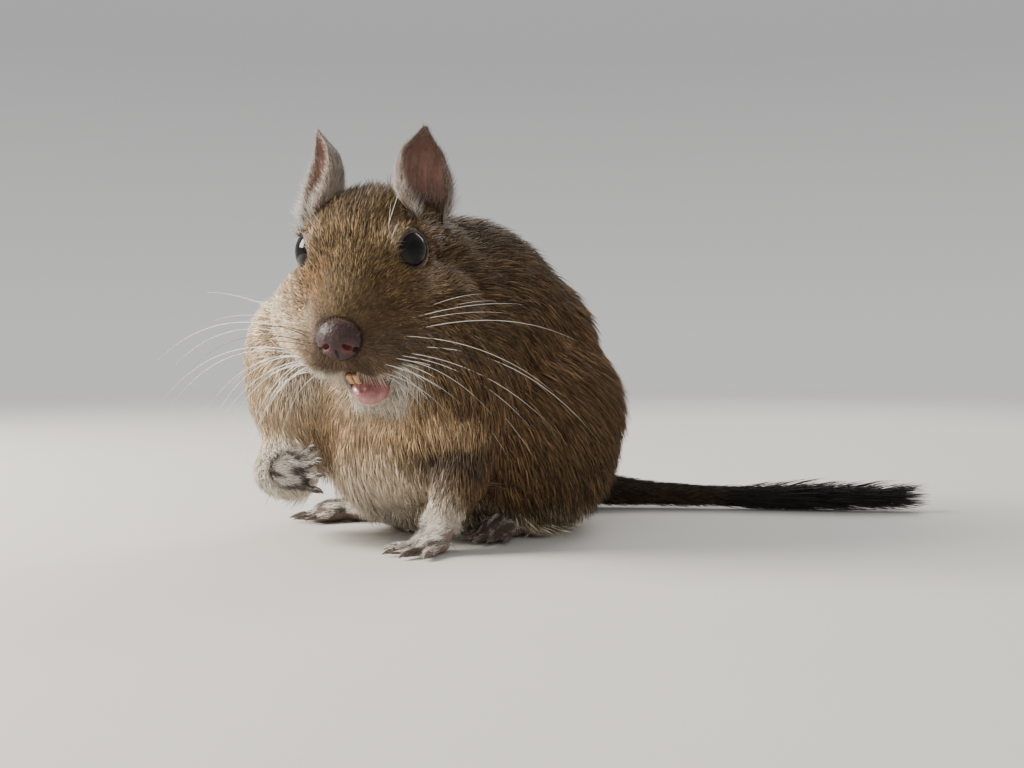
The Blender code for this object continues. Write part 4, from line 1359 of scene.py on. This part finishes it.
class DEGU_OT_ears(bpy.types.Operator):
    """Make the thin ears with their down"""

    bl_idname = "degu.ears"
    bl_label = "Ears"

    def execute(self, context):
        inner = np.array(context.scene.degu_face.ear)
        draw = np.random.default_rng(SEED + 20)
        down_look = hair_material("ear_down", 0.6)
        skin_look = bare_skin_material("ear_skin", 0.55, 1800.0, 0.0002)
        for side, name in ((-1, "right"), (1, "left")):
            ear = copy_of_nodes("ear_" + name + "_skin", ["ear_" + name])
            melted(ear, 0.3, 6)
            self.point(side, ear)
            ear.data.shade_smooth()
            unwrapped(ear)
            spots, normals = spots_of(ear.data), normals_of(ear.data)
            paint(ear.data, "marking", self.tones(side, spots, normals, inner))
            dressed(ear, skin_look, "ear_" + name, slot="ear_skin")
            down = self.down(side, "ear_" + name + "_down", ear, draw)
            dressed(down, down_look, slot="ear_skin")
        return {"FINISHED"}

    def point(self, side, ear):
        """Draws the tip in to a point and presses two soft folds into the cup."""
        spots = spots_of(ear.data)
        root, up, front = (np.array(axis) for axis in ear_axes(side))
        own = into(HEAD, spots) - root
        t = (own @ up + EAR_SUNK) / EAR_LENGTH
        axis = ear_midline(t, up, front)
        out = own - axis
        across = out @ np.cross(up, front)
        narrow = 1 - 0.55 * np.clip((t - 0.72) / 0.28, 0, 1) ** 1.5
        fold = 0.28 * np.sin(across * 2.3) * np.clip(t / 0.25, 0, 1) * np.clip((0.9 - t) / 0.3, 0, 1)
        moved = axis + out * narrow[:, None] + np.outer(fold, front)
        lifted = np.hstack([moved + root, np.ones((len(moved), 1))]) @ np.array(HEAD).T
        ear.data.vertices.foreach_set("co", np.ascontiguousarray(lifted[:, :3]).ravel())
        ear.data.update()

    def tones(self, side, spots, normals, inner):
        """Pinkish and veined inside, darker at the tip, with painted shade deep in the cup, grey-brown
        outside.
        """
        t, inside, rim = ear_places(side, spots, normals)
        outer = np.array((0.15, 0.11, 0.09))
        edge = np.array((0.17, 0.10, 0.075))
        value = np.where(inside[:, None], inner, outer)
        share = np.clip((rim - 0.70) / 0.3, 0, 1)[:, None]
        value = value * (1 - share) + edge * share
        veins = 1 + 0.18 * ripple(spots * np.array([1.0, 1.0, 0.35]), 0.004, SEED + 21, 1)
        # Painted shade: the inside darkens towards the bottom of the cup.
        deep = np.clip(1 - t / 0.5, 0, 1)[:, None] * inside[:, None]
        tip = np.clip((t - 0.6) / 0.4, 0, 1)[:, None]
        return value * veins * (1 - 0.75 * deep) * (1 - 0.5 * tip)

    def down(self, side, name, ear, draw):
        roots = scatter(ear, lambda points: np.full(len(points), 7.0), draw)
        t, inside, rim = ear_places(side, roots.spots, roots.normals)
        near_rim = rim > 0.82
        kept = np.where(inside, draw.uniform(size=len(t)) < np.where(near_rim, 0.9, 0.22), True)
        roots = picked(roots, kept)
        t, inside, rim = ear_places(side, roots.spots, roots.normals)
        root, up, front = ear_axes(side)
        upwards = heading(HEAD, up)
        forwards = heading(HEAD, front)
        lie = np.tile(upwards, (len(t), 1)) + draw.normal(0, 0.25, (len(t), 3))
        lie += np.where((rim > 0.82)[:, None], forwards * 0.7, 0)
        low = (1 - t) ** 2
        length = (1.3 + 3.4 * low) * draw.uniform(0.7, 1.3, len(t)) * MM
        degrees = np.where(rim > 0.82, 24, 13) + draw.normal(0, 5, len(t))
        pale = np.array((0.50, 0.44, 0.37))
        brown = np.array((0.13, 0.085, 0.055))
        share = np.clip(0.95 - 0.9 * t + 0.3 * (rim > 0.8), 0, 1)[:, None]
        value = brown + (pale - brown) * share
        value *= draw.uniform(0.7, 1.2, (len(t), 1))
        return short_hair(name, roots, lie, length, 0.14, degrees, value, draw)


class DEGU_OT_feet(bpy.types.Operator):
    """Make the hands and feet with their short hair and their claws"""

    bl_idname = "degu.feet"
    bl_label = "Hands and feet"

    def execute(self, context):
        draw = np.random.default_rng(SEED + 40)
        skin_look = bare_skin_material("paw_skin", 0.6, 1600.0, 0.0003)
        hair_look = hair_material("paw_hair", 0.6)
        claw_look = claw_material()
        for name in HANDS_AND_FEET:
            paw = copy_of_nodes(name + "_skin", [name])
            melted(paw, 0.35, 5)
            spots = above_floor(paw)
            paw.data.update()
            paw.data.shade_smooth()
            unwrapped(paw)
            paint(paw.data, "marking", self.tones(name, spots, normals_of(paw.data)))
            dressed(paw, skin_look, name, slot="foot")
            hair = self.hair(name, paw, draw)
            dressed(hair, hair_look, slot="foot")
        for name, claws in claw_plan().items():
            piece = strands(name + "_claws", claws, [0.78 * MM] * len(claws), 8)
            dressed(piece, claw_look, slot="foot")
        return {"FINISHED"}

    def tones(self, name, spots, normals):
        """Grey-pink skin, darker towards the toes and pads."""
        value = np.tile(np.array((0.24, 0.165, 0.135)), (len(spots), 1))
        toes = np.clip(self.towards_toes(name, spots) * 1.3 - 0.3, 0, 1)[:, None]
        return value * (1 - 0.72 * toes)

    def towards_toes(self, name, spots):
        """0 at the wrist or heel and 1 at the tips of the toes."""
        start, end = PAW_LINES[name]
        own = into(BODY, spots) - np.array(start)
        line = np.array(end) - np.array(start)
        return own @ line / (line @ line)

    def hair(self, name, paw, draw):
        roots = scatter(paw, lambda points: np.full(len(points), 10.0), draw)
        along = self.towards_toes(name, roots.spots)
        if name == "forepaw_right":
            top = roots.normals @ heading(BODY, (0.1, -0.8, 0.5)) > -0.2
        else:
            top = roots.normals[:, 2] > -0.15
        kept = top & (draw.uniform(size=len(along)) < np.clip(2.0 - along * 1.7, 0.15, 1))
        roots = picked(roots, kept & (roots.spots[:, 2] > 0.0008))
        along = self.towards_toes(name, roots.spots)
        start, end = PAW_LINES[name]
        lie = np.tile(heading(BODY, np.array(end) - np.array(start)), (len(along), 1))
        lie += draw.normal(0, 0.11, lie.shape)
        long = 4.4 if name == "forepaw_right" else 3.2
        length = (long - 2.0 * np.clip(along, 0, 1)) * draw.uniform(0.7, 1.3, len(along)) * MM
        degrees = 14 + draw.normal(0, 5, len(along))
        pale, grey = np.array((0.88, 0.82, 0.73)), np.array((0.055, 0.043, 0.038))
        line = heading(BODY, np.array(end) - np.array(start))
        across = roots.spots - np.outer(roots.spots @ line, line) * 0.85
        streak = 0.75 * ripple(across, 0.0028, SEED + 41, 1)[:, 0] + 0.12 * draw.normal(size=len(along))
        share = np.clip((along * 0.9 - 0.25 + streak) * 2.2, 0, 1)[:, None]
        value = (pale + (grey - pale) * share) * draw.uniform(0.75, 1.2, (len(along), 1))
        return short_hair(name + "_hair", roots, lie, length, 0.17, degrees, value, draw)


def claw_path(root, heading_angle, rise, length, curl=0.0, claw=2.2):
    """The curved line of a claw at the end of a digit that is laid out as in the solids."""
    place, pitch, joints = Vector(root), rise, 4
    for _ in range(joints):
        direction = Vector((
            math.sin(math.radians(heading_angle)) * math.cos(math.radians(pitch)),
            -math.cos(math.radians(heading_angle)) * math.cos(math.radians(pitch)),
            math.sin(math.radians(pitch)),
        ))
        place = place + direction * (length / joints)
        pitch -= curl / joints
    path = []
    for i in range(7):
        s = i / 6
        arch = Vector((0, 0, 0.30 + 0.45 * math.sin(2.4 * s) - 0.9 * s))
        spot = place + direction * ((claw + 1.1) * s - 0.6) + arch
        spot.z = max(spot.z, 0.22)
        path.append(np.array(BODY @ spot))
    return path


def claw_plan():
    """Every claw's line, by the hand or foot that it belongs to."""
    plan = {name: [] for name in HANDS_AND_FEET}
    for angle, start, length in ((-52, -3.2, 6.6), (-24, -1.4, 7.8), (2, 1.2, 7.4), (28, 3.2, 6.2)):
        root = (26.6 + start * 0.9, -36.0 + abs(start) * 0.5, 1.5)
        plan["forepaw_left"].append(claw_path(root, angle, -4, length))
    fingers = ((84, 3.2, 8.4, 22), (90, 1.2, 9.6, 12), (92, -1.0, 9.4, 2), (96, -3.0, 8.0, -12))
    for angle, height, length, rise in fingers:
        root = (-4.4, -52.0, 19.6 + height)
        plan["forepaw_right"].append(claw_path(root, angle, rise, length, curl=-10, claw=1.8))
    toe_rows = ((-24, -3.9, 6.2), (-10, -2.0, 8.4), (0, 0.0, 9.0), (10, 2.0, 8.4), (26, 3.9, 5.8))
    for name, toes, angle in (("hind_foot_left", (27.5, -18), 12), ("hind_foot_right", (-41, -25), -38)):
        turn = math.radians(angle)
        ahead = Vector((math.sin(turn), -math.cos(turn), 0))
        aside = Vector((math.cos(turn), math.sin(turn), 0))
        root = Vector((*toes, 0)) - ahead * 11
        for spread, start, length in toe_rows:
            base = root + ahead * (2.6 - abs(start) * 0.35) + aside * start
            plan[name].append(claw_path((base.x, base.y, 1.7), angle + spread, -2, length * 0.82, claw=2.3))
    return plan


PAW_LINES = {
    "forepaw_left": ((27, -30.5, 3), (25, -46, 1)),
    "forepaw_right": ((-12, -50, 19.5), (6, -53, 19.6)),
    "hind_foot_left": ((20, 13, 3), (28, -22, 1)),
    "hind_foot_right": ((-18, 5, 3), (-43, -29, 1)),
}


class DEGU_OT_tail_brush(bpy.types.Operator):
    """Make the long black hair of the tail's brush"""

    bl_idname = "degu.tail_brush"
    bl_label = "Tail brush"

    def execute(self, context):
        draw = np.random.default_rng(SEED + 60)
        colour = np.array(context.scene.degu_coat.brush)
        core = self.core()
        paint_all(core, colour * 1.2)
        core_look = bare_skin_material("brush_core_skin", 0.8, 900.0, 0.0004)
        dressed(core, core_look, "tail_brush", slot="tail_coat")
        paths, radii, tones = [], [], []
        for _ in range(1500):
            t = TUFT_START - 0.1 + (0.98 - TUFT_START + 0.1) * draw.uniform() ** 0.8
            root, radius = tail_point(t)
            ahead, side, up = tail_axes(t)
            turn = draw.uniform(0, 2 * math.pi)
            out = side * math.cos(turn) + up * math.sin(turn)
            thick_part = min(1.0, max(0.0, (t - TUFT_START + 0.1) / 0.12))
            near_tip = 1.0 - 0.35 * max(0.0, (t - 0.85) / 0.15)
            length = (5.0 + 9.0 * thick_part) * draw.uniform(0.7, 1.1) * near_tip
            spread = draw.uniform(0.06, 0.30)
            path = []
            for i in range(6):
                s = i / 5
                away = radius * 0.7 + spread * length * math.sin(s * 1.3)
                place = root + out * away + ahead * length * s
                place.z = max(place.z, 0.35)
                path.append(np.array(BODY @ place))
            paths.append(path)
            radii.append(draw.uniform(0.10, 0.17) * MM)
            tones.append(draw.uniform(0.7, 1.8))
        hair = strands("brush_hair", paths, radii, 3, np.outer(tones, colour))
        dressed(hair, hair_material("brush_hair_black", 0.45), slot="tail_coat")
        return {"FINISHED"}

    def core(self):
        bm = bmesh.new()
        rings = []
        steps, sides = 40, 16
        for i in range(steps + 1):
            t = TUFT_START - 0.02 + (1.0 - TUFT_START + 0.02) * i / steps
            place, radius = tail_point(t)
            ahead, side, up = tail_axes(t)
            radius *= 0.8 * (1.0 if i < steps else 0.4)
            ring = []
            for k in range(sides):
                turn = 2 * math.pi * k / sides
                out = side * math.cos(turn) + up * math.sin(turn)
                ring.append(bm.verts.new(BODY @ (place + out * radius)))
            rings.append(ring)
        tube(bm, rings)
        return object_from("brush_core", bm)


class DEGU_OT_whiskers(bpy.types.Operator):
    """Make the whiskers of muzzle, brows and lip"""

    bl_idname = "degu.whiskers"
    bl_label = "Whiskers"

    def execute(self, context):
        settings = context.scene.degu_face
        draw = np.random.default_rng(SEED + 80)
        skin = bpy.data.objects["skin"]
        look = hair_material("whisker_hair", 0.35)
        for side, name in ((-1, "right"), (1, "left")):
            paths, radii, tones = [], [], []
            for row in range(settings.whisker_rows):
                for column in range(5):
                    start = onto_surface(skin, whisker_place(side, row, column))
                    reach = settings.whisker_length * (1.0 - 0.15 * column) * ROW_REACH[side][row]
                    back = (0.72 if side > 0 else 0.42) - 0.13 * column + 0.10 * draw.normal()
                    lift = (-0.2 if side > 0 else 0.24) - 0.15 * row
                    aim = (side * 1.0, max(back, 0.3), lift + 0.08 * draw.normal())
                    droop = 0.12 + 0.2 * draw.uniform() + (0.07 if side > 0 else 0.11) * row
                    length = reach * draw.uniform(0.85, 1.05)
                    paths.append(bent_path(start, heading(HEAD, aim), length, droop))
                    radii.append((0.125 - 0.009 * column) * MM)
                    dark = row < 2 and column > 1
                    tones.append((0.05, 0.04, 0.035) if dark else (0.78, 0.75, 0.70))
            for spot, aim, reach in BROW_WHISKERS:
                start = onto_surface(skin, (side * spot[0], spot[1], spot[2]))
                aim = heading(HEAD, (side * aim[0], aim[1], aim[2]))
                paths.append(bent_path(start, aim, reach * MM, 0.12))
                radii.append(0.09 * MM)
                tones.append((0.70, 0.66, 0.60))
            for _ in range(34):
                place = (side * draw.uniform(13, 20), draw.uniform(33, 38), draw.uniform(9, 14))
                start = onto_surface(skin, place)
                aim = (side * draw.uniform(0.5, 1.2), draw.uniform(0.2, 0.9), draw.uniform(0.1, 0.9))
                paths.append(bent_path(start, heading(HEAD, aim), draw.uniform(4, 7) * MM, 0.25))
                radii.append(0.06 * MM)
                tones.append((0.50, 0.42, 0.33))
            piece = strands("whiskers_" + name, paths, radii, tones=tones)
            dressed(piece, look, slot="coat")
        return {"FINISHED"}


ROW_REACH = {
    -1: (0.6, 0.92, 0.92, 0.85, 0.75, 0.6, 0.5),
    1: (0.7, 1.0, 1.0, 0.85, 0.6, 0.5, 0.5),
}
BROW_WHISKERS = (
    ((9.0, 26.0, 16.0), (0.3, -0.2, 1.0), 15), ((8.5, 28.0, 16.5), (0.45, 0.1, 1.0), 18),
    ((10.0, 24.0, 15.0), (0.5, -0.4, 0.9), 12), ((18.0, 20.0, -2.0), (1.0, 0.1, 0.35), 16),
    ((19.0, 24.0, -6.0), (1.0, 0.5, 0.0), 14),
)


class DEGU_OT_stage(bpy.types.Operator):
    """Set the floor, the lights and the camera"""

    bl_idname = "degu.stage"
    bl_label = "Stage"

    def execute(self, context):
        settings = context.scene.degu_stage
        bm = bmesh.new()
        bmesh.ops.create_circle(bm, cap_ends=True, segments=96, radius=1.0)
        bmesh.ops.translate(bm, verts=bm.verts, vec=(0, 0, -0.0002))
        floor = object_from("floor", bm, smooth=False)
        made, tree, shader = shader_of("floor_paint", 0.8)
        paler = tuple(c * 1.04 for c in settings.floor)
        tone = ramp(tree, noise(tree, 30.0), (0.0, tuple(settings.floor)), (1.0, paler))
        tree.links.new(tone, shader.inputs["Base Color"])
        self.fade(tree, shader)
        floor.data.materials.append(made)
        self.light("key", (-0.48, -0.52, 0.40), 0.34, settings.key_power, (1.0, 0.95, 0.88))
        self.light("fill", (0.65, -0.45, 0.35), 0.6, settings.key_power * 0.08, (0.95, 0.97, 1.0))
        self.light("rim", (-0.15, 0.65, 0.55), 0.4, settings.key_power * 0.22, (1.0, 0.97, 0.93))
        self.world(context)
        self.camera(context, settings)
        return {"FINISHED"}

    def fade(self, tree, shader):
        """Lets the floor run out softly into the light behind it, from 0.4 m to 1 m away."""
        away = node(tree, "ShaderNodeMapRange", interpolation_type="SMOOTHSTEP")
        tree.links.new(distance_to(tree, (0, 0, 0)), away.inputs["Value"])
        set_inputs(away, {"From Min": 400.0, "From Max": 1000.0})
        blend = node(tree, "ShaderNodeMixShader")
        tree.links.new(away.outputs["Result"], blend.inputs["Fac"])
        tree.links.new(shader.outputs["BSDF"], blend.inputs[1])
        tree.links.new(node(tree, "ShaderNodeBsdfTransparent").outputs["BSDF"], blend.inputs[2])
        tree.links.new(blend.outputs["Shader"], tree.nodes["Material Output"].inputs["Surface"])

    def world(self, context):
        """Soft light from all round, brighter overhead and as pale as the floor at the horizon."""
        world = bpy.data.worlds.new("studio")
        context.scene.world = world
        world.use_nodes = True
        tree = world.node_tree
        coordinates = node(tree, "ShaderNodeTexCoord")
        split = node(tree, "ShaderNodeSeparateXYZ")
        tree.links.new(coordinates.outputs["Generated"], split.inputs["Vector"])
        tone = ramp(tree, split.outputs["Z"], (0.0, (0.98, 0.97, 0.95)), (0.22, 0.66), (1.0, 0.8))
        tree.links.new(tone, tree.nodes["Background"].inputs["Color"])
        tree.nodes["Background"].inputs["Strength"].default_value = 0.7

    def light(self, name, place, size, power, colour):
        data = bpy.data.lights.new(name, "AREA")
        data.size = size
        data.energy = power
        data.color = colour
        made = bpy.data.objects.new(name, data)
        made.location = place
        aim = Vector((0, -0.02, 0.045)) - Vector(place)
        made.rotation_euler = aim.to_track_quat("-Z", "Y").to_euler()
        made.visible_glossy = name != "fill"
        bpy.context.scene.collection.objects.link(made)

    def camera(self, context, settings):
        data = bpy.data.cameras.new("photo_angle")
        data.sensor_width = 36.0
        data.lens = settings.lens
        data.clip_start = 0.01
        data.dof.use_dof = False
        made = bpy.data.objects.new("photo_angle", data)
        made.location = BODY @ Vector(CAMERA_PLACE)
        made.rotation_euler = (math.radians(90 - CAMERA_DIP), 0, math.radians(CAMERA_AZIMUTH))
        context.scene.collection.objects.link(made)
        context.scene.camera = made


class DEGU_PT_panel(bpy.types.Panel):
    """Lists the steps of the degu and its settings"""

    bl_idname = "DEGU_PT_panel"
    bl_label = "Degu"
    bl_space_type = "VIEW_3D"
    bl_region_type = "UI"
    bl_category = "Degu"

    def draw(self, context):
        for operator in OPERATORS:
            self.layout.operator(operator.bl_idname)
        for group in ("degu_coat", "degu_face", "degu_stage"):
            settings = getattr(context.scene, group)
            box = self.layout.box()
            for name in settings.bl_rna.properties.keys():
                if name not in ("rna_type", "name"):
                    box.prop(settings, name)


SETTINGS = (DeguCoatSettings, DeguFaceSettings, DeguStageSettings)
OPERATORS = (
    DEGU_OT_stage, DEGU_OT_skin, DEGU_OT_coat, DEGU_OT_eyes, DEGU_OT_nose_and_mouth, DEGU_OT_ears,
    DEGU_OT_feet, DEGU_OT_tail_brush, DEGU_OT_whiskers,
)


def register():
    for made in (*SETTINGS, *OPERATORS, DEGU_PT_panel):
        bpy.utils.register_class(made)
    bpy.types.Scene.degu_coat = PointerProperty(type=DeguCoatSettings)
    bpy.types.Scene.degu_face = PointerProperty(type=DeguFaceSettings)
    bpy.types.Scene.degu_stage = PointerProperty(type=DeguStageSettings)


def unregister():
    del bpy.types.Scene.degu_stage
    del bpy.types.Scene.degu_face
    del bpy.types.Scene.degu_coat
    for made in reversed((*SETTINGS, *OPERATORS, DEGU_PT_panel)):
        bpy.utils.unregister_class(made)


def main():
    register()
    bpy.ops.degu.stage()
    bpy.ops.degu.skin()
    bpy.ops.degu.coat()
    bpy.ops.degu.eyes()
    bpy.ops.degu.nose_and_mouth()
    bpy.ops.degu.ears()
    bpy.ops.degu.feet()
    bpy.ops.degu.tail_brush()
    bpy.ops.degu.whiskers()


if __name__ == "__main__":
    main()
